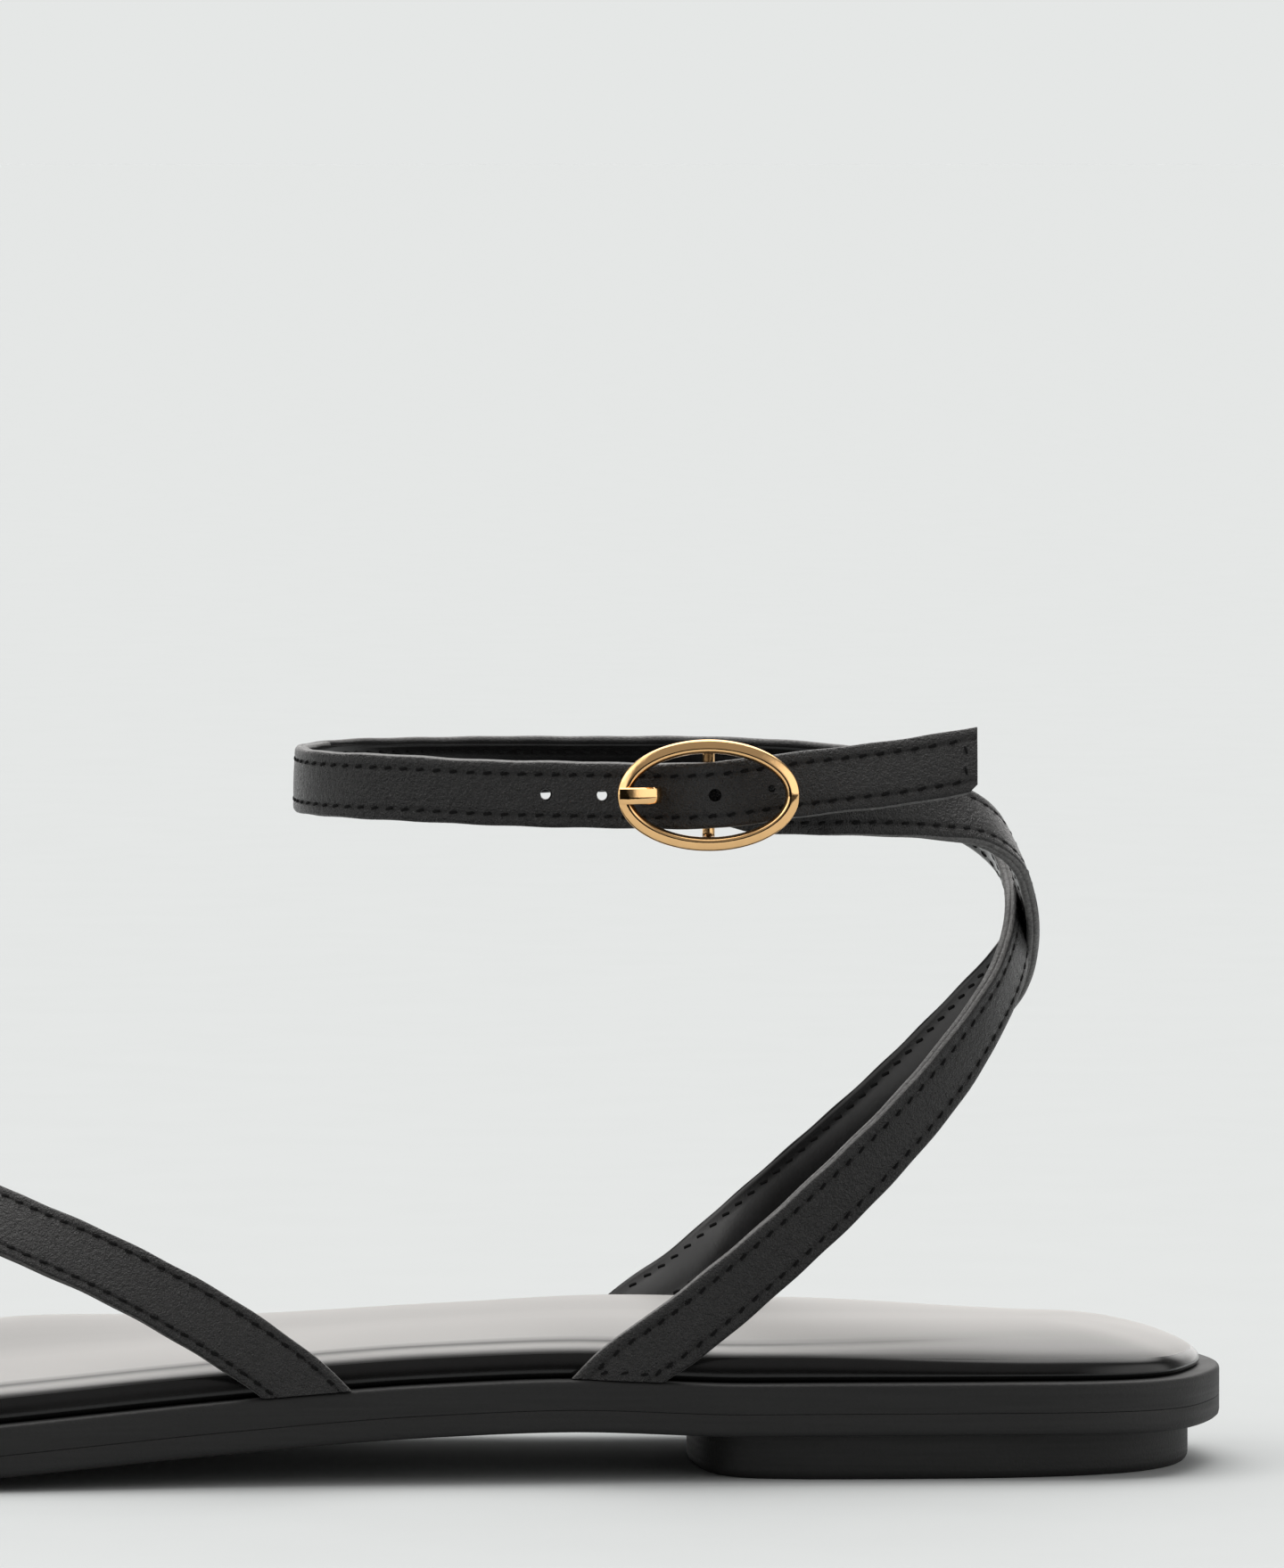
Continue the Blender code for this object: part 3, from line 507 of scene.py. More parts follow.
def piece(bm, name, finishes, nodes, sharp=SHARP):
    """A finished piece in metres that rides on the sandal and stands for its frame nodes."""
    bmesh.ops.triangulate(bm, faces=[f for f in bm.faces if len(f.verts) > 4])
    bmesh.ops.scale(bm, vec=(MM, MM, MM), verts=bm.verts)
    mesh = mesh_of(bm, name)
    for finish in finishes:
        mesh.materials.append(finish)
    mesh.shade_smooth()
    mesh.set_sharp_from_angle(angle=math.radians(sharp))
    obj = add_object(name, mesh)
    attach(obj, BODY)
    if nodes:
        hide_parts(*nodes)
    return obj


def joined(base, other, operation, material=0):
    """Cuts or joins one bmesh with another, and gives back the result."""
    for f in other.faces:
        f.material_index = material
    made = [add_object("working", mesh_of(bm, "working")) for bm in (base, other)]
    for obj in made:
        for _ in STRAP_FINISHES:
            obj.data.materials.append(None)
    modifier = made[0].modifiers.new("join", "BOOLEAN")
    modifier.operation = operation
    modifier.object = made[1]
    modifier.solver = "EXACT"
    bpy.context.view_layer.update()
    mesh = bpy.data.meshes.new_from_object(made[0].evaluated_get(bpy.context.evaluated_depsgraph_get()))
    bm = bmesh.new()
    bm.from_mesh(mesh)
    for obj in made:
        bpy.data.meshes.remove(obj.data)
    bpy.data.meshes.remove(mesh)
    return bm


def add_node(tree, kind, inputs=None, **settings):
    """A shader node with its settings, and its inputs set or linked."""
    made = tree.nodes.new(kind)
    for name, value in settings.items():
        setattr(made, name, value)
    for name, value in (inputs or {}).items():
        if isinstance(value, bpy.types.NodeSocket):
            tree.links.new(value, made.inputs[name])
        else:
            made.inputs[name].default_value = value
    return made


class Finish:
    """A material whose patterns lie in object coordinates; sizes and depths are in metres."""

    def __init__(self, name, roughness, metallic=0.0, specular=0.5):
        self.material = bpy.data.materials.new(name)
        self.material.use_nodes = True
        self.tree = self.material.node_tree
        self.inputs = self.tree.nodes["Principled BSDF"].inputs
        self.inputs["Roughness"].default_value = roughness
        self.inputs["Metallic"].default_value = metallic
        self.inputs["Specular IOR Level"].default_value = specular
        self.coords = self.node("ShaderNodeTexCoord").outputs["Object"]

    def node(self, kind, inputs=None, **settings):
        return add_node(self.tree, kind, inputs, **settings)

    def pattern(self, size, low=0.0, high=1.0, detail=3.0):
        """A soft pattern from low to high."""
        noise = self.node("ShaderNodeTexNoise", {"Vector": self.coords, "Scale": 1 / size, "Detail": detail})
        return self.node("ShaderNodeMapRange", {
            "Value": noise.outputs["Fac"], "From Min": 0.32, "From Max": 0.68, "To Min": low, "To Max": high,
        }).outputs["Result"]

    def tone(self, colour, size, lift):
        """Base colour that goes from the given one to a lighter one."""
        mix = self.node("ShaderNodeMix", {"Factor": self.pattern(size)}, data_type="RGBA")
        mix.inputs["A"].default_value = (*colour, 1.0)
        mix.inputs["B"].default_value = (*(min(1.0, c * lift) for c in colour), 1.0)
        self.tree.links.new(mix.outputs["Result"], self.inputs["Base Color"])

    def gloss(self, size, low, high):
        """Roughness that goes from low to high."""
        self.tree.links.new(self.pattern(size, low, high), self.inputs["Roughness"])

    def relief(self, height, depth):
        """Surface relief, over any that is there."""
        inputs = {"Height": height, "Distance": depth, "Strength": 1.0}
        if self.inputs["Normal"].is_linked:
            inputs["Normal"] = self.inputs["Normal"].links[0].from_socket
        self.tree.links.new(self.node("ShaderNodeBump", inputs).outputs["Normal"], self.inputs["Normal"])


def leather(name, colour, roughness, uneven, grain, depth, folds, specular):
    """Black leather: pebbled grain, fine pores and soft folds."""
    made = Finish(name, roughness, specular=specular)
    made.tone(colour, size=0.0012, lift=1.5)
    made.gloss(0.0007, roughness - uneven, roughness + uneven)
    made.relief(made.pattern(0.004, detail=2.0), folds)
    pebbles = made.node("ShaderNodeTexVoronoi", {"Vector": made.coords, "Scale": 1 / grain}, feature="SMOOTH_F1")
    pores = made.pattern(grain * 0.45, high=0.6, detail=2.0)
    height = made.node("ShaderNodeMath", {0: pores, 1: pebbles.outputs["Distance"]}, operation="SUBTRACT")
    made.relief(height.outputs[0], depth)
    return made.material


def insole_leather(name, colour, roughness, bloom):
    """Smooth black cover with a pale bloom seen at a low angle."""
    made = Finish(name, roughness, specular=0.4)
    made.inputs["Sheen Weight"].default_value = bloom
    made.inputs["Sheen Roughness"].default_value = 0.4
    made.inputs["Sheen Tint"].default_value = (1.0, 0.975, 0.95, 1.0)
    made.tone(colour, size=0.0012, lift=1.5)
    made.gloss(0.0007, roughness - 0.008, roughness + 0.008)
    made.relief(made.pattern(0.0004), depth=0.0000008)
    return made.material


def edge_paint(name, colour, specular):
    """Cut edge of a strap under paint: fibres along it and a rough, uneven gloss."""
    made = Finish(name, 0.45, specular=specular)
    made.tone(colour, size=0.0004, lift=2.4)
    made.gloss(0.0005, 0.36, 0.52)
    made.relief(made.pattern(0.00022, detail=4.0), depth=0.00005)
    return made.material


def sole_board(name, colour, tread=False):
    """Matt moulded sole: faint streaks along the shoe, fine tooth, and a ribbed tread on the underside."""
    made = Finish(name, 0.6, specular=0.36)
    plain = made.coords
    made.coords = made.node("ShaderNodeMapping", {"Vector": plain, "Scale": (0.06, 0.06, 1.4)}).outputs["Vector"]
    made.tone(colour, size=0.0009, lift=1.25)
    made.gloss(0.0007, 0.56, 0.64)
    made.coords = plain
    made.relief(made.pattern(0.00035, detail=4.0), depth=0.000025)
    if tread:
        ribs = made.node("ShaderNodeTexWave", {"Vector": plain, "Scale": 130.0, "Distortion": 0.0},
                         wave_type="BANDS", bands_direction="X", wave_profile="SIN")
        made.relief(ribs.outputs["Fac"], depth=0.0004)
    return made.material


def gilt(name, colour):
    """Polished gilt plating with the faint waves of a cast buckle."""
    made = Finish(name, 0.1, metallic=1.0)
    made.tone(colour, size=0.002, lift=1.06)
    made.gloss(0.0006, 0.07, 0.13)
    made.relief(made.pattern(0.0011, detail=2.0), depth=0.00001)
    return made.material


def sewing_thread(name, colour):
    """Twisted thread."""
    made = Finish(name, 0.75, specular=0.12)
    made.tone(colour, size=0.0003, lift=2.0)
    made.relief(made.pattern(0.00012), depth=0.00004)
    return made.material


def finish_once(name, make, colour, **values):
    """A material by name, made the first time it is asked for."""
    return bpy.data.materials.get(name) or make(name, colour, **values)


def strap_finishes(colours):
    """A strap's finishes, in the order of their names in STRAP_FINISHES."""
    return (
        finish_once("strap leather", leather, colours.leather, roughness=0.3, uneven=0.05, grain=0.00045, depth=0.0002,
                    folds=0.00005, specular=0.42),
        finish_once("painted edge", edge_paint, colours.edge, specular=0.45),
        finish_once("strap lining", leather, colours.lining, roughness=0.2, uneven=0.03, grain=0.0003, depth=0.000006,
                    folds=0.00001, specular=0.35),
        # Painted shade: a darker, duller copy of the edge finish for the inner half of the far side's edges
        finish_once("bare edge", edge_paint, colours.lining, specular=0.08),
    )


def sole_finishes(colours):
    """The sole's sides and its tread."""
    return (
        finish_once("sole board", sole_board, colours.sole),
        finish_once("sole tread", sole_board, colours.sole, tread=True),
    )


class Route:
    """A strap's run: places at even steps, with the directions across it and out of it, width and thickness.

    It is evened out over the given share of its length, and its stitches lie a share of their inset from its edges.
    """

    def __init__(self, places, outward, sizes, pitch, loose=1.0, hem=1.0):
        self.hem = hem
        places, outward, sizes = (np.asarray(a, float) for a in (places, outward, sizes))
        run = np.concatenate([[0], np.cumsum(np.linalg.norm(np.diff(places, axis=0), axis=1))])
        holes = max(2, round(run[-1] / pitch))
        self.pitch = run[-1] / holes
        self.at = np.linspace(0, run[-1], 2 * holes + 1)
        self.centre = read_off(self.at, run, places)
        self.width, self.thick = read_off(self.at, run, sizes).T
        evened = self.at < loose * run[-1]
        for _ in range(EVENING_ROUNDS):
            moved = self.centre.copy()
            moved[1:-1] = (self.centre[:-2] + 2 * self.centre[1:-1] + self.centre[2:]) / 4
            self.centre = np.where(evened[:, None], moved, self.centre)
        along = unit(np.gradient(self.centre, axis=0))
        self.across = unit(np.cross(read_off(self.at, run, outward), along))
        self.out = np.cross(along, self.across)

    def spot(self, at, aside, out):
        """A place on the strap: along it, across it from the middle, and out of it."""
        centre, across, outward = (read_off(at, self.at, rows) for rows in (self.centre, self.across, self.out))
        return centre + across * aside + outward * out

    def rings(self):
        """The strap's section at every step, sunk at the needle holes."""
        half = [row[:3] for row in STRAP_SECTION]
        section = [(1, *row) for row in half] + [(-1, *row) for row in half[-2:0:-1]]
        found = []
        for i in range(len(self.at)):
            w, t = self.width[i] / 2, self.thick[i] / 2
            sway = sum(high * math.sin(turn * i + first) for high, turn, first in CUT_WAVES)
            ring = []
            for side, inset, out, hole in section:
                aside = side * max(0.0, w + sway * (inset < CUT_ROWS) - inset * self.hem)
                sunk = out - hole if i % 2 == 0 else out
                ring.append(self.centre[i] + self.across[i] * aside + self.out[i] * sunk * t)
            found.append([Vector(p) for p in ring])
        return found

    def solid(self):
        """The strap, with its outer face, cut edges and lining marked for their finishes."""
        bm = sweep(self.rings())
        place, row = bm.verts.layers.int["place"], bm.verts.layers.int["row"]
        half = len(STRAP_SECTION) - 1
        for f in bm.faces:
            finish = "edge"
            if len(f.verts) == 4:
                low, high = sorted({v[place] for v in f.verts})
                span = low if high - low == 1 else high
                section = STRAP_SECTION[span if span < half else 2 * half - 1 - span]
                # Far along the inner side, the inner half of the edge takes the darker finish of painted shade
                if section[3] != "inner edge" or self.centre[f.verts[0][row]][1] >= SHADED_EDGE_Y:
                    finish = section[3]
            f.material_index = STRAP_FINISHES.index(finish)
        return bm


def ankle_run(table, thick, count=ANKLE_POINTS):
    """Fine places on a route round the ankle, and the strap's leant outward direction at each."""
    knots = np.column_stack([np.arange(len(table)), np.asarray(table, float)])
    turn, height, lift, lean = smooth(knots, np.linspace(0, len(table) - 1, count)).T
    back, front, outer, inner = smooth(ANKLE_FORM, height).T
    c, s = np.cos(np.radians(turn)), np.sin(np.radians(turn))
    half_length, half_width = (back - front) / 2, np.where(s > 0, inner, outer)
    power = 2 / ANKLE_SQUARENESS
    along, aside = np.sign(c) * np.abs(c) ** power, np.sign(s) * np.abs(s) ** power
    steep = ANKLE_SQUARENESS - 1
    normal = unit(np.column_stack([
        np.sign(along) * np.abs(along) ** steep / half_length,
        np.sign(aside) * np.abs(aside) ** steep / half_width,
        np.zeros(count),
    ]))
    places = np.column_stack([(back + front) / 2 + half_length * along, half_width * aside, height])
    places += normal * (lift + thick / 2)[:, None]
    sideways = np.cross(np.gradient(places, axis=0), normal)
    sideways *= (np.sign(sideways[:, 2]) / np.linalg.norm(sideways, axis=1))[:, None]
    lean = np.radians(lean)[:, None]
    return places, normal * np.cos(lean) + sideways * np.sin(lean)


def long_strap_route(sizes):
    """From the outer waist, round the back and the ankle, through the buckle to the tip."""
    width, thick = mm(sizes.strap_width), mm(sizes.strap_thick)
    places, outward = ankle_run(LONG_STRAP, thick)
    x = np.linspace(LONG_STRAP_END[0][0], LONG_STRAP_END[-1][0], END_POINTS)
    places = np.vstack([places, np.column_stack([x, smooth(LONG_STRAP_END, x)])])
    lean = np.radians(smooth(END_LEAN, x)[:, 0])
    outward = np.vstack([outward, np.column_stack([0 * x, -np.cos(lean), np.sin(lean)])])
    return Route(places, outward, np.tile((width, thick), (len(places), 1)), mm(sizes.stitch_pitch))


def buckle_strap_route(sizes):
    """From the inner waist, round the back, to its loop on the buckle's bar."""
    width, thick = mm(sizes.strap_width), mm(sizes.strap_thick)
    places, outward = ankle_run(BUCKLE_STRAP, thick)
    measures = [(width, thick)] * len(places)
    x, _, z = BUCKLE_CENTRE
    radius = BAR_RADIUS + LOOP_GAP + LOOP_THICK / 2
    angles = np.radians(np.arange(*LOOP_ANGLES))
    arc = np.column_stack([x + radius * np.cos(angles), BAR_Y + radius * np.sin(angles), np.full(len(angles), z)])
    lead = np.array([places[-1], *(row[:3] for row in BUCKLE_STRAP_LEAD), arc[0]])
    lead_sizes = np.array([(width, thick), *(row[3:] for row in BUCKLE_STRAP_LEAD), (LOOP_WIDTH, LOOP_THICK)])
    curve = through(np.hstack([lead, lead_sizes]), LEAD_POINTS)[1:-1]
    loop_out = np.column_stack([np.cos(angles), np.sin(angles), np.zeros(len(angles))])
    last = np.array([[LOOP_END_X, BAR_Y + radius, z]])
    loose = len(places) + len(curve)
    places = np.vstack([places, curve[:, :3], arc, last])
    outward = np.vstack([outward, np.tile((0.0, -1.0, 0.0), (len(curve), 1)), loop_out, [(0.0, 1.0, 0.0)]])
    measures = np.vstack([measures, curve[:, 3:], np.tile((LOOP_WIDTH, LOOP_THICK), (len(arc) + 1, 1))])
    run = np.cumsum(np.linalg.norm(np.diff(places, axis=0), axis=1))
    return Route(places, outward, measures, mm(sizes.stitch_pitch), loose=run[loose - 2] / run[-1])


def vamp_strap_route(sizes):
    """Over the forefoot, its face square to the oval section of the last."""
    places = through(VAMP_STRAP, VAMP_POINTS)
    aside = (places[:, 1] - VAMP_CENTRE[0]) / VAMP_HALF_WIDTH ** 2
    above = np.maximum(places[:, 2] - VAMP_CENTRE[1], 0.0) / VAMP_HALF_HEIGHT ** 2
    normal = unit(np.column_stack([np.zeros(len(places)), aside, above]))
    measures = np.tile((mm(sizes.strap_width), mm(sizes.strap_thick)), (len(places), 1))
    return Route(places, normal, measures, mm(sizes.stitch_pitch), hem=VAMP_HEM)


def ledge_height(x):
    """Height of the ledge round the insole."""
    return float(sole_height(x)[0]) + MIDSOLE_TOP


def cut_off(bm, near, place, normal, **side):
    """Cuts off one side of a plane among the given corners' faces, and closes the cut."""
    edges = dict.fromkeys(e for v in near for e in v.link_edges)
    faces = dict.fromkeys(f for v in near for f in v.link_faces)
    cut = bmesh.ops.bisect_plane(bm, geom=[*near, *edges, *faces], plane_co=place, plane_no=normal, **side)
    bmesh.ops.contextual_create(bm, geom=[e for e in cut["geom_cut"] if isinstance(e, bmesh.types.BMEdge)])


def trim_at_ledge(bm, x):
    """Cuts a strap's foot off level with the ledge that it stands on."""
    slope = (ledge_height(x + LEDGE_STEP) - ledge_height(x - LEDGE_STEP)) / (2 * LEDGE_STEP)
    near = [v for v in bm.verts if abs(v.co.x - x) < FOOT_REACH and v.co.z < FOOT_HEIGHT]
    cut_off(bm, near, (x, 0, ledge_height(x) + FOOT_GAP), (-slope, 0, 1), clear_inner=True)


def trim_tip(bm):
    """Cuts the long strap's end off upright and eases the corner of the cut."""
    bmesh.ops.bisect_plane(
        bm, geom=bm.verts[:] + bm.edges[:] + bm.faces[:], plane_co=(STRAP_TIP_X, 0, 0), plane_no=(1, 0, 0))
    side, low = END_REGION
    beyond = [v for v in bm.verts if v.co.x > STRAP_TIP_X + CLOSE and v.co.y < side and v.co.z > low]
    bmesh.ops.delete(bm, geom=beyond, context="VERTS")
    rim = [e for e in bm.edges if e.is_boundary and abs(e.verts[0].co.x - STRAP_TIP_X) < CLOSE]
    bmesh.ops.contextual_create(bm, geom=rim)
    reach, side, low = CORNER_REGION
    near = [v for v in bm.verts if v.co.x > STRAP_TIP_X - reach and v.co.y < side and v.co.z > low]
    back, height = TIP_CORNER
    cut_off(bm, near, (STRAP_TIP_X - back, 0, height), (1, 0, -1), clear_outer=True)


def hole_cutter(place, radius):
    """A punch with a flared shoulder, so that the hole's rim is rounded over."""
    bm = bmesh.new()
    made = [bm.verts.new((radius * share, y, 0.0)) for share, y in PUNCH_PROFILE]
    edges = [bm.edges.new(pair) for pair in zip(made, made[1:])]
    bmesh.ops.spin(bm, geom=made + edges, axis=(0, 1, 0), cent=(0, 0, 0), angle=2 * math.pi, steps=PUNCH_STEPS,
                   use_merge=True)
    bmesh.ops.remove_doubles(bm, verts=bm.verts, dist=CLOSE)
    bmesh.ops.recalc_face_normals(bm, faces=bm.faces)
    bmesh.ops.translate(bm, vec=place, verts=bm.verts)
    return bm


def outer_run(route, x):
    """Centre of the long strap's outer run at a place along the shoe."""
    rows = (route.centre[:, 1] < 0) & (route.centre[:, 2] > OUTER_RUN_LOW)
    order = np.argsort(route.centre[rows, 0])
    xs, ys, zs = route.centre[rows][order].T
    return Vector((x, float(np.interp(x, xs, ys)), float(np.interp(x, xs, zs))))


def box(place, size):
    """A cutting block."""
    bm = bmesh.new()
    bmesh.ops.create_cube(bm, size=1.0, matrix=Matrix.Translation(place) @ Matrix.Diagonal((*size, 1)))
    return bm


class SANDAL_OT_sole(bpy.types.Operator):
    """Adds the outsole and the layer above it, up to the ledge round the insole"""

    bl_idname = "sandal.sole"
    bl_label = "Layered sole"

    def execute(self, context):
        finishes = sole_finishes(context.scene.sandal_finishes)
        outline = sole_outline()
        for name, section, node in (
            ("sole_outer", OUTSOLE_SECTION, "outsole"), ("sole_middle", MIDSOLE_SECTION, "midsole")):
            rings = []
            for row, (inset, level) in enumerate((section[0], *section, section[-1])):
                plan = moved_in(outline, inset, 0.0 if 0 < row <= len(section) else MIDDLE_SHARE)
                rings.append([Vector((x, y, level + h)) for (x, y), h in zip(plan, sole_height(plan[:, 0]))])
            bm = sweep(rings)
            bm.normal_update()
            for f in bm.faces:
                f.material_index = int(f.normal.z < TREAD_NORMAL and node == "outsole")
            piece(bm, name, finishes, (node,))
        return {"FINISHED"}


class SANDAL_OT_heel(bpy.types.Operator):
    """Adds the low heel block with its bowed front"""

    bl_idname = "sandal.heel"
    bl_label = "Heel block"

    def execute(self, context):
        plan = through(HEEL_OUTLINE, HEEL_POINTS, closed=True)
        plan[:, 0] = SOLE_LENGTH / 2 - plan[:, 0]
        bm = bmesh.new()
        loop = bmesh.ops.create_circle(bm, segments=len(plan), radius=1.0, cap_ends=True)["verts"]
        for v, (x, y) in zip(loop, plan):
            v.co = (x, y, HEEL_TOP)
        drawn = bmesh.ops.extrude_face_region(bm, geom=bm.faces[:])["geom"]
        low = [v for v in drawn if isinstance(v, bmesh.types.BMVert)]
        bmesh.ops.translate(bm, vec=(0, 0, -HEEL_TOP), verts=low)
        rim = [e for e in bm.edges if all(abs(v.co.z) < CLOSE for v in e.verts)]
        bmesh.ops.recalc_face_normals(bm, faces=bm.faces)
        bmesh.ops.bevel(bm, geom=rim, offset=HEEL_ROUND, segments=HEEL_ROUND_STEPS, profile=0.5, affect="EDGES",
                        material=-1)
        base = [f for f in bm.faces if f.normal.z < TREAD_NORMAL and len(f.verts) > 4]
        inset, step, depth = HEEL_TREAD
        bmesh.ops.inset_region(bm, faces=base, thickness=inset, depth=0.0)
        bmesh.ops.inset_region(bm, faces=base, thickness=step, depth=depth)
        for f in bm.faces:
            f.material_index = int(f in base)
        piece(bm, "heel_block", sole_finishes(context.scene.sandal_finishes), ("heel",))
        return {"FINISHED"}


class SANDAL_OT_insole(bpy.types.Operator):
    """Adds the padded insole, crowned along its middle and drawn tight at its edge"""

    bl_idname = "sandal.insole"
    bl_label = "Padded insole"

    def execute(self, context):
        colours = context.scene.sandal_finishes
        outline = moved_in(sole_outline(), INSOLE_SET_IN)
        inner = eased(outline[:, 1], *INSOLE_INNER)
        heel = eased(SOLE_LENGTH / 2 - outline[:, 0], *INSOLE_HEEL)
        weights = np.array([(1 - inner) * (1 - heel), inner * (1 - heel), heel])
        side = through(INSOLE_SECTION, INSOLE_STEPS)
        last = INSOLE_SECTION[-1]
        rows = [(last[0], MIDDLE_SHARE, side[0][1::2], False)]
        rows += [(weights.T @ row[0::2], 0.0, row[1::2], False) for row in side]
        rows += [(weights.T @ np.array(last[0::2]), share, raised, True) for share, *raised in INSOLE_CROWN]
        solid = []
        for inset, share, (outer, *rest), crowned in rows:
            plan = moved_in(outline, inset, share)
            full = insole_thickness(plan[:, 0], plan[:, 1])
            outer = last[1] + (full - last[1]) * outer if crowned else np.full(len(plan), outer)
            level = weights[0] * outer + full * (weights[1] * rest[0] + weights[2] * rest[1])
            z = sole_height(plan[:, 0]) + INSOLE_LOW + level
            solid.append([Vector((x, y, h)) for (x, y), h in zip(plan, z)])
        bm = sweep(solid)
        row = bm.verts.layers.int["row"]
        for f in bm.faces:
            f.material_index = int(min(v[row] for v in f.verts) < INSOLE_TIGHT_ROWS)
        cover = finish_once("insole leather", insole_leather, colours.insole, roughness=0.4, bloom=1.0)
        side = finish_once("insole side", insole_leather, colours.insole, roughness=0.2, bloom=0.0)
        pad = piece(bm, "padded_insole", (cover, side), ("insole",), INSOLE_SHARP)
        return {"FINISHED"}


class SANDAL_OT_vamp_strap(bpy.types.Operator):
    """Adds the strap over the forefoot"""

    bl_idname = "sandal.vamp_strap"
    bl_label = "Forefoot strap"

    def execute(self, context):
        bm = vamp_strap_route(context.scene.sandal_sizes).solid()
        for x in VAMP_FEET:
            trim_at_ledge(bm, x)
        finishes = strap_finishes(context.scene.sandal_finishes)
        piece(bm, "forefoot_strap", finishes, ("vamp_strap",), STRAP_SHARP)
        return {"FINISHED"}


class SANDAL_OT_ankle_straps(bpy.types.Operator):
    """Adds the two straps that cross behind the heel, with the holes and the loop for the buckle"""

    bl_idname = "sandal.ankle_straps"
    bl_label = "Ankle straps"

    def execute(self, context):
        sizes, finishes = context.scene.sandal_sizes, strap_finishes(context.scene.sandal_finishes)
        wall = STRAP_FINISHES.index("lining")
        route = long_strap_route(sizes)
        bm = route.solid()
        trim_at_ledge(bm, LONG_STRAP_FOOT)
        trim_tip(bm)
        for step, share in HOLE_STEPS:
            place = outer_run(route, HOLE_MIDDLE_X + step * HOLE_PITCH)
            bm = joined(bm, hole_cutter(place, mm(sizes.hole) / 2 * share), "DIFFERENCE", wall)
        x, *size = PRONG_SLOT
        bm = joined(bm, box(outer_run(route, x), size), "DIFFERENCE", wall)
        piece(bm, "ankle_strap_long", finishes, ("ankle_straps",), STRAP_SHARP)

        bm = buckle_strap_route(sizes).solid()
        trim_at_ledge(bm, BUCKLE_STRAP_FOOT)
        x, _, z = BUCKLE_CENTRE
        bm = joined(bm, box((x + LOOP_SLOT_SHIFT, BAR_Y, z), LOOP_SLOT), "DIFFERENCE", wall)
        piece(bm, "ankle_strap_short", finishes, ("ankle_straps",), STRAP_SHARP)
        return {"FINISHED"}


def stitch_shape(length, thread):
    """One stitch of thread, its ends drawn down into the leather."""
    rings = []
    for share, rise, girth in STITCH_PROFILE:
        girth = thread / 2 * girth
        rings.append([
            Vector((share * length, girth * math.cos(a), rise + STITCH_FLATNESS * girth * math.sin(a)))
            for a in turns(STITCH_SIDES)
        ])
    return mesh_of(sweep(rings), "stitch")


class SANDAL_OT_stitching(bpy.types.Operator):
    """Adds the rows of stitches along the edges of every strap, on its face and on its lining"""

    bl_idname = "sandal.stitching"
    bl_label = "Stitching"

    def row_end(self, route, aside, rule, from_start):
        """How far along a row reaches before a rule stops it."""
        fine = np.arange(0.0, route.at[-1], ROW_STEP)
        for at in fine if from_start else fine[::-1]:
            if rule(route.spot(at, aside, 0.0)):
                return at
        raise RuntimeError("a row of stitches has no end")

    def sew(self, bm, stitch, route, inset, start, end, crossed):
        """Stitches along both edges of a strap between two rules, and across it at the named ends."""
        aside = route.width[0] / 2 - inset * route.hem
        spans, ends = [], {}
        for side in (aside, -aside):
            low, high = self.row_end(route, side, start, True), self.row_end(route, side, end, False)
            ends[side] = (low, high)
            first, last = math.ceil(low / route.pitch - 0.5), math.floor(high / route.pitch + 0.5)
            marks = [low, *(k * route.pitch for k in range(first + 1, last)), high]
            spans += [((one, side), (two, side)) for one, two in zip(marks, marks[1:])]
        for which in crossed:
            one, two = (np.array((ends[side][which], side)) for side in (aside, -aside))
            count = max(2, round(math.dist(one, two) / route.pitch))
            marks = [one + (two - one) * t for t in np.linspace(0, 1, count + 1)]
            spans += list(zip(marks, marks[1:]))
        for face in (1, -1):
            for (s0, a0), (s1, a1) in spans:
                middle = (s0 + s1) / 2
                thick = np.interp(middle, route.at, route.thick)
                level = face * (STITCH_LEVEL * thick / 2 + CROSS_LIFT * (abs(a0) != abs(a1)))
                one, two = Vector(route.spot(s0, a0, level)), Vector(route.spot(s1, a1, level))
                along = (two - one).normalized()
                out = Vector(read_off(middle, route.at, route.out)) * face
                across = out.cross(along).normalized()
                turn = Matrix((along, across, along.cross(across))).transposed().to_4x4()
                place = Matrix.Translation(Vector(route.spot(middle, (a0 + a1) / 2, level)))
                tilt = Matrix.Rotation(face * STITCH_TILT, 4, "Z")
                before = len(bm.verts)
                bm.from_mesh(stitch)
                bm.verts.ensure_lookup_table()
                bmesh.ops.transform(bm, matrix=place @ turn @ tilt, verts=bm.verts[before:])

    def execute(self, context):
        sizes, colours = context.scene.sandal_sizes, context.scene.sandal_finishes
        thread = finish_once("sewing thread", sewing_thread, colours.thread)
        inset = mm(sizes.stitch_inset)
        stitch = stitch_shape(mm(sizes.stitch_pitch) * STITCH_SHARE, mm(sizes.thread))

        def above_ledge(clear):
            return lambda p: p[2] > ledge_height(p[0]) + clear

        foot = above_ledge(ANKLE_ROW_FOOT)
        bm = bmesh.new()
        self.sew(bm, stitch, long_strap_route(sizes), inset, foot, lambda p: p[0] < STRAP_TIP_X - ROW_TIP, (0, 1))
        self.sew(bm, stitch, buckle_strap_route(sizes), inset, foot,
                 lambda p: p[0] > ROW_LOOP[0] and p[2] > ROW_LOOP[1], (0,))
        piece(bm, "ankle_stitching", (thread,), ())
        foot = above_ledge(VAMP_ROW_FOOT)
        bm = bmesh.new()
        self.sew(bm, stitch, vamp_strap_route(sizes), inset, foot, foot, ())
        piece(bm, "forefoot_stitching", (thread,), ())
        bpy.data.meshes.remove(stitch)
        return {"FINISHED"}


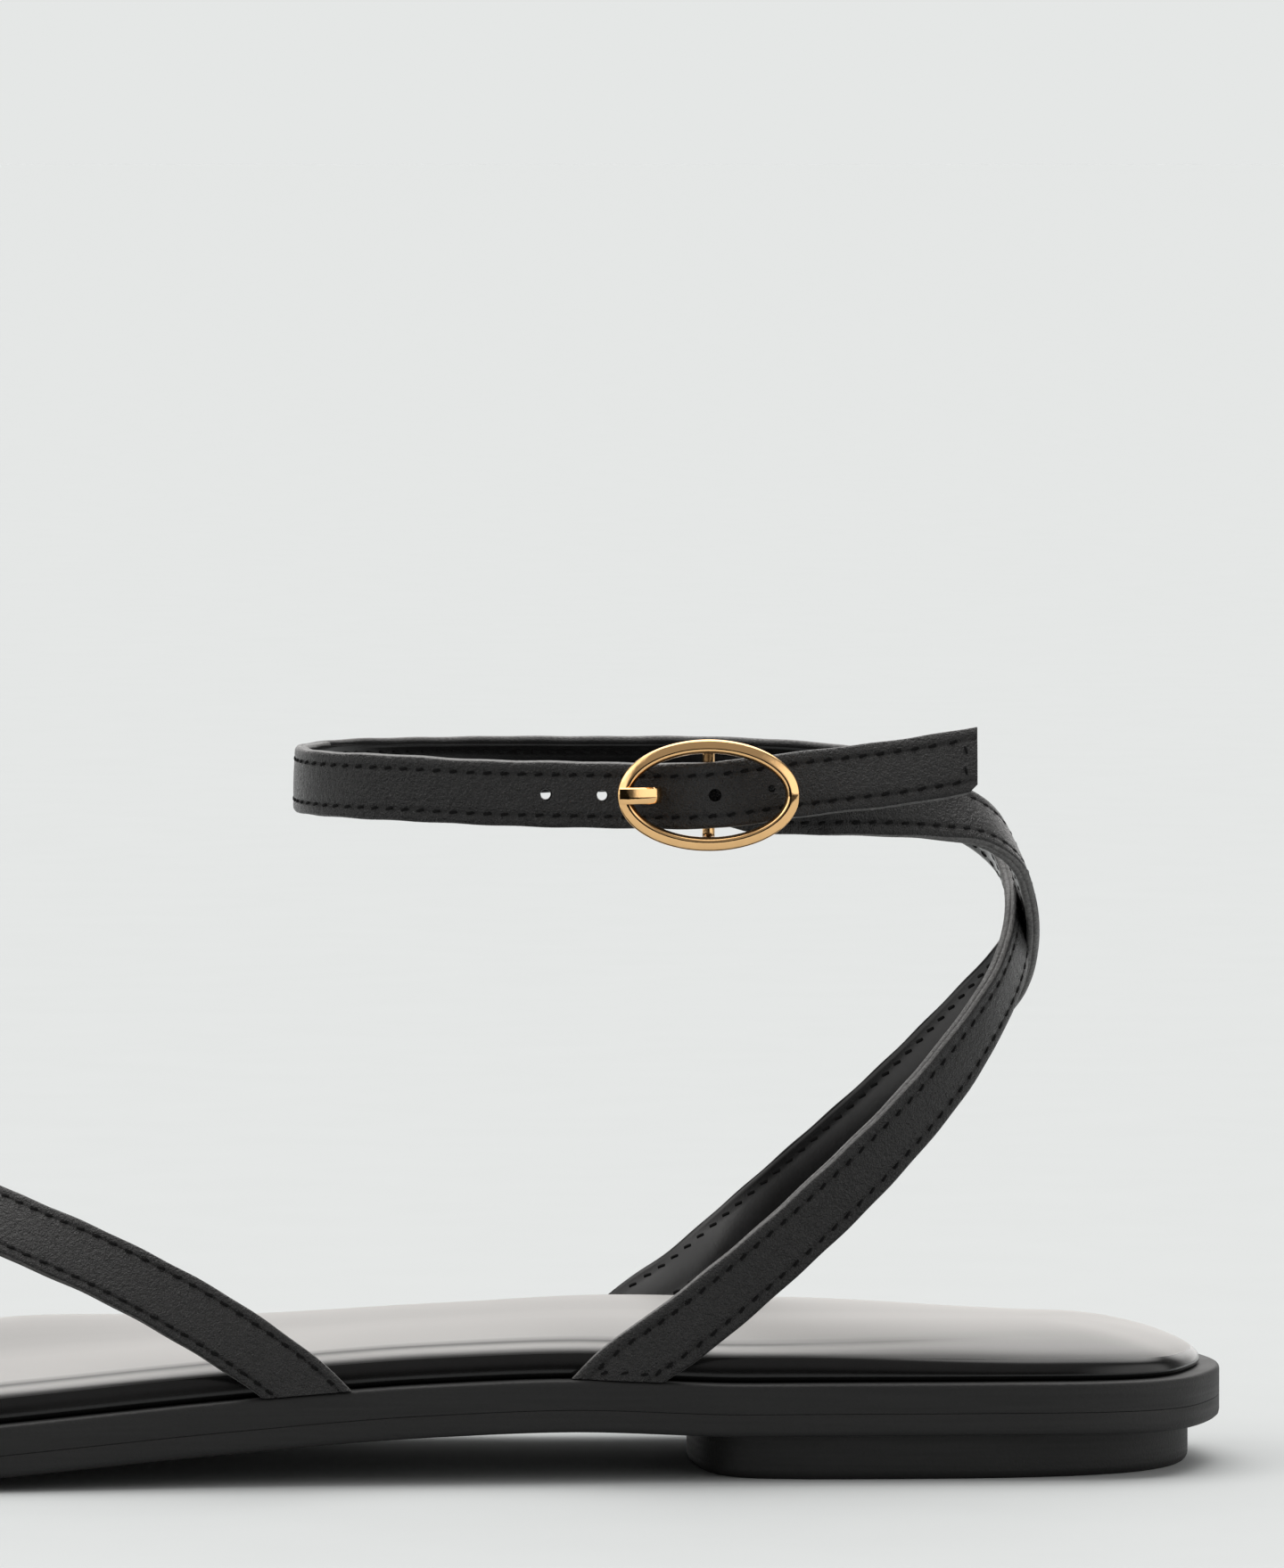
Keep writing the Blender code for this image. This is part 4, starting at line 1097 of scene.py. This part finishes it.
class SANDAL_OT_buckle(bpy.types.Operator):
    """Adds the oval buckle with its bar"""

    bl_idname = "sandal.buckle"
    bl_label = "Oval buckle"

    def execute(self, context):
        sizes, colours = context.scene.sandal_sizes, context.scene.sandal_finishes
        plating = finish_once("gilt plating", gilt, colours.gilt)
        x, y, z = BUCKLE_CENTRE
        rim = mm(sizes.buckle_rim) / 2
        a, b = mm(sizes.buckle_length) / 2 - rim, mm(sizes.buckle_height) / 2 - rim
        section = through(RIM_SECTION, RIM_POINTS, closed=True)
        rings = []
        for turn in turns(RIM_STEPS):
            centre = Vector((x + a * math.cos(turn), y, z + b * math.sin(turn)))
            away = Vector((b * math.cos(turn), 0, a * math.sin(turn))).normalized()
            rings.append([centre + away * rim * aside + Vector((0, rim * deep, 0)) for aside, deep in section])
        bm = sweep(rings, closed=True)
        half = [(y + deep, b + up) for deep, up in RIM_LEG]
        half += [(BAR_Y + deep, BAR_SHOULDER + up) for deep, up in BAR_LEG]
        staple = through([
            *((x, deep, z + up) for deep, up in half), (x, BAR_Y, z), *((x, deep, z - up) for deep, up in half[::-1]),
        ], CURVE_POINTS)
        side = Vector((1, 0, 0))
        wire = []
        for place, along in zip(staple, np.gradient(staple, axis=0)):
            up = Vector(along).normalized().cross(side)
            wire.append([
                Vector(place) + side * BAR_RADIUS * math.cos(t) + up * BAR_RADIUS * math.sin(t)
                for t in turns(BAR_SIDES)
            ])
        bm = joined(bm, sweep(wire), "UNION")
        piece(bm, "gilt_buckle", (plating,), ("buckle",), RIM_SHARP)
        return {"FINISHED"}


class SANDAL_OT_prong(bpy.types.Operator):
    """Adds the flat prong, curled round the bar, through its hole and on to the rim"""

    bl_idname = "sandal.prong"
    bl_label = "Buckle prong"

    def execute(self, context):
        sizes, colours = context.scene.sandal_sizes, context.scene.sandal_finishes
        plating = finish_once("gilt plating", gilt, colours.gilt)
        x, _, z = BUCKLE_CENTRE
        w, t = mm(sizes.prong_width) / 2, mm(sizes.prong_thick) / 2
        radius = BAR_RADIUS + LOOP_GAP + t
        angles = np.radians(np.arange(*PRONG_CURL))
        curl = [(x + radius * math.cos(a), BAR_Y + radius * math.sin(a)) for a in angles]
        path = np.vstack([curl, through([curl[-1], *PRONG_PATH], CURVE_POINTS)[1:]])
        c = PRONG_CORNER
        section = [
            (w, -t + c), (w, t - c), (w - c, t), (-w + c, t), (-w, t - c), (-w, -t + c), (-w + c, -t),
            *((w * share, -t - PRONG_CROWN) for share in PRONG_RIDGE), (w - c, -t),
        ]
        rings = []
        for (px, py), (dx, dy) in zip(path, unit(np.gradient(path, axis=0))):
            out = Vector((dy, -dx, 0))
            rings.append([Vector((px, py, z + aside)) + out * o for aside, o in section])
        piece(sweep(rings), "gilt_prong", (plating,), ("buckle_prong",), PRONG_SHARP)
        return {"FINISHED"}


class SANDAL_OT_stage(bpy.types.Operator):
    """Adds the pale floor, the studio light and the camera"""

    bl_idname = "sandal.stage"
    bl_label = "Stage"

    def execute(self, context):
        scene = context.scene
        colours = scene.sandal_finishes
        made = Finish("pale floor", 0.9, specular=0.0)
        made.tone(colours.floor, size=0.02, lift=1.012)
        bm = bmesh.new()
        bmesh.ops.create_grid(bm, x_segments=FLOOR_CELLS, y_segments=FLOOR_CELLS, size=FLOOR_REACH)
        bmesh.ops.translate(bm, vec=(0, FLOOR_REACH - FLOOR_NEAR, 0), verts=bm.verts)
        floor = add_object("floor", mesh_of(bm, "floor"))
        floor.data.materials.append(made.material)
        self.light(scene, colours)
        self.camera(scene)
        scene.view_settings.view_transform = "Standard"
        return {"FINISHED"}

    def light(self, scene, colours):
        """Even studio light: pale all round, brighter above, dark in front where the camera stands."""
        world = bpy.data.worlds.new("studio")
        scene.world = world
        world.use_nodes = True
        tree = world.node_tree
        tree.nodes.clear()
        way = add_node(tree, "ShaderNodeTexCoord").outputs["Generated"]

        def patch(direction, edge, core, least, most):
            """Light that goes from one level to another towards a direction; edge and core are cosines."""
            near = add_node(tree, "ShaderNodeVectorMath", {0: way, 1: Vector(direction).normalized()},
                            operation="DOT_PRODUCT").outputs["Value"]
            return add_node(tree, "ShaderNodeMapRange", {
                "Value": near, "From Min": edge, "From Max": core, "To Min": least, "To Max": most,
            }, interpolation_type="SMOOTHSTEP").outputs["Result"]

        def combine(one, two, operation):
            return add_node(tree, "ShaderNodeMath", {0: one, 1: two}, operation=operation).outputs[0]

        level = AMBIENT
        for direction, edge, core, power in LIGHTS:
            level = combine(level, patch(direction, edge, core, 0.0, power), "ADD")
        direction, edge, core, least = DARK_SIDE
        level = combine(level, patch(direction, edge, core, 1.0, least), "MULTIPLY")
        direction, edge, core, least = BELOW
        level = combine(level, patch(direction, edge, core, least, 1.0), "MULTIPLY")
        lit = add_node(tree, "ShaderNodeBackground", {"Color": LIGHT_TINT, "Strength": level})
        seen = add_node(tree, "ShaderNodeBackground", {"Color": (*colours.backdrop, 1.0), "Strength": 1.0})
        ray = add_node(tree, "ShaderNodeLightPath").outputs["Is Camera Ray"]
        mix = add_node(tree, "ShaderNodeMixShader", {0: ray})
        tree.links.new(lit.outputs[0], mix.inputs[1])
        tree.links.new(seen.outputs[0], mix.inputs[2])
        out = add_node(tree, "ShaderNodeOutputWorld")
        tree.links.new(mix.outputs[0], out.inputs["Surface"])

    def camera(self, scene):
        """A long lens at the height of the ankle, square to the outer side."""
        lens = bpy.data.cameras.new("camera")
        lens.sensor_fit = "VERTICAL"
        lens.sensor_height = SENSOR
        lens.lens = SENSOR * CAMERA_FOCAL / CAMERA_PIXELS
        lens.clip_end = CAMERA_END
        scene.camera = add_object("camera", lens)
        scene.camera.location = CAMERA_PLACE
        scene.camera.rotation_euler = (math.radians(90 - CAMERA_DROP), 0, 0)


PIECES = (
    SANDAL_OT_sole,
    SANDAL_OT_heel,
    SANDAL_OT_insole,
    SANDAL_OT_vamp_strap,
    SANDAL_OT_ankle_straps,
    SANDAL_OT_stitching,
    SANDAL_OT_buckle,
    SANDAL_OT_prong,
    SANDAL_OT_stage,
)


class SANDAL_PT_pieces(bpy.types.Panel):
    """Lists the sandal's pieces, sizes and colours"""

    bl_idname = "SANDAL_PT_pieces"
    bl_label = "Strappy sandal"
    bl_space_type = "VIEW_3D"
    bl_region_type = "UI"
    bl_category = "Sandal"

    def draw(self, context):
        for operator in PIECES:
            self.layout.operator(operator.bl_idname)
        for group in (context.scene.sandal_sizes, context.scene.sandal_finishes):
            area = self.layout.box()
            for name in group.__annotations__:
                area.prop(group, name)


CLASSES = (SANDAL_PG_sizes, SANDAL_PG_finishes, *PIECES, SANDAL_PT_pieces)


def register():
    for made in CLASSES:
        bpy.utils.register_class(made)
    bpy.types.Scene.sandal_sizes = bpy.props.PointerProperty(type=SANDAL_PG_sizes)
    bpy.types.Scene.sandal_finishes = bpy.props.PointerProperty(type=SANDAL_PG_finishes)


def unregister():
    del bpy.types.Scene.sandal_finishes
    del bpy.types.Scene.sandal_sizes
    for made in reversed(CLASSES):
        bpy.utils.unregister_class(made)


def main():
    register()
    bpy.ops.sandal.sole()
    bpy.ops.sandal.heel()
    bpy.ops.sandal.insole()
    bpy.ops.sandal.vamp_strap()
    bpy.ops.sandal.ankle_straps()
    bpy.ops.sandal.stitching()
    bpy.ops.sandal.buckle()
    bpy.ops.sandal.prong()
    bpy.ops.sandal.stage()


if __name__ == "__main__":
    main()
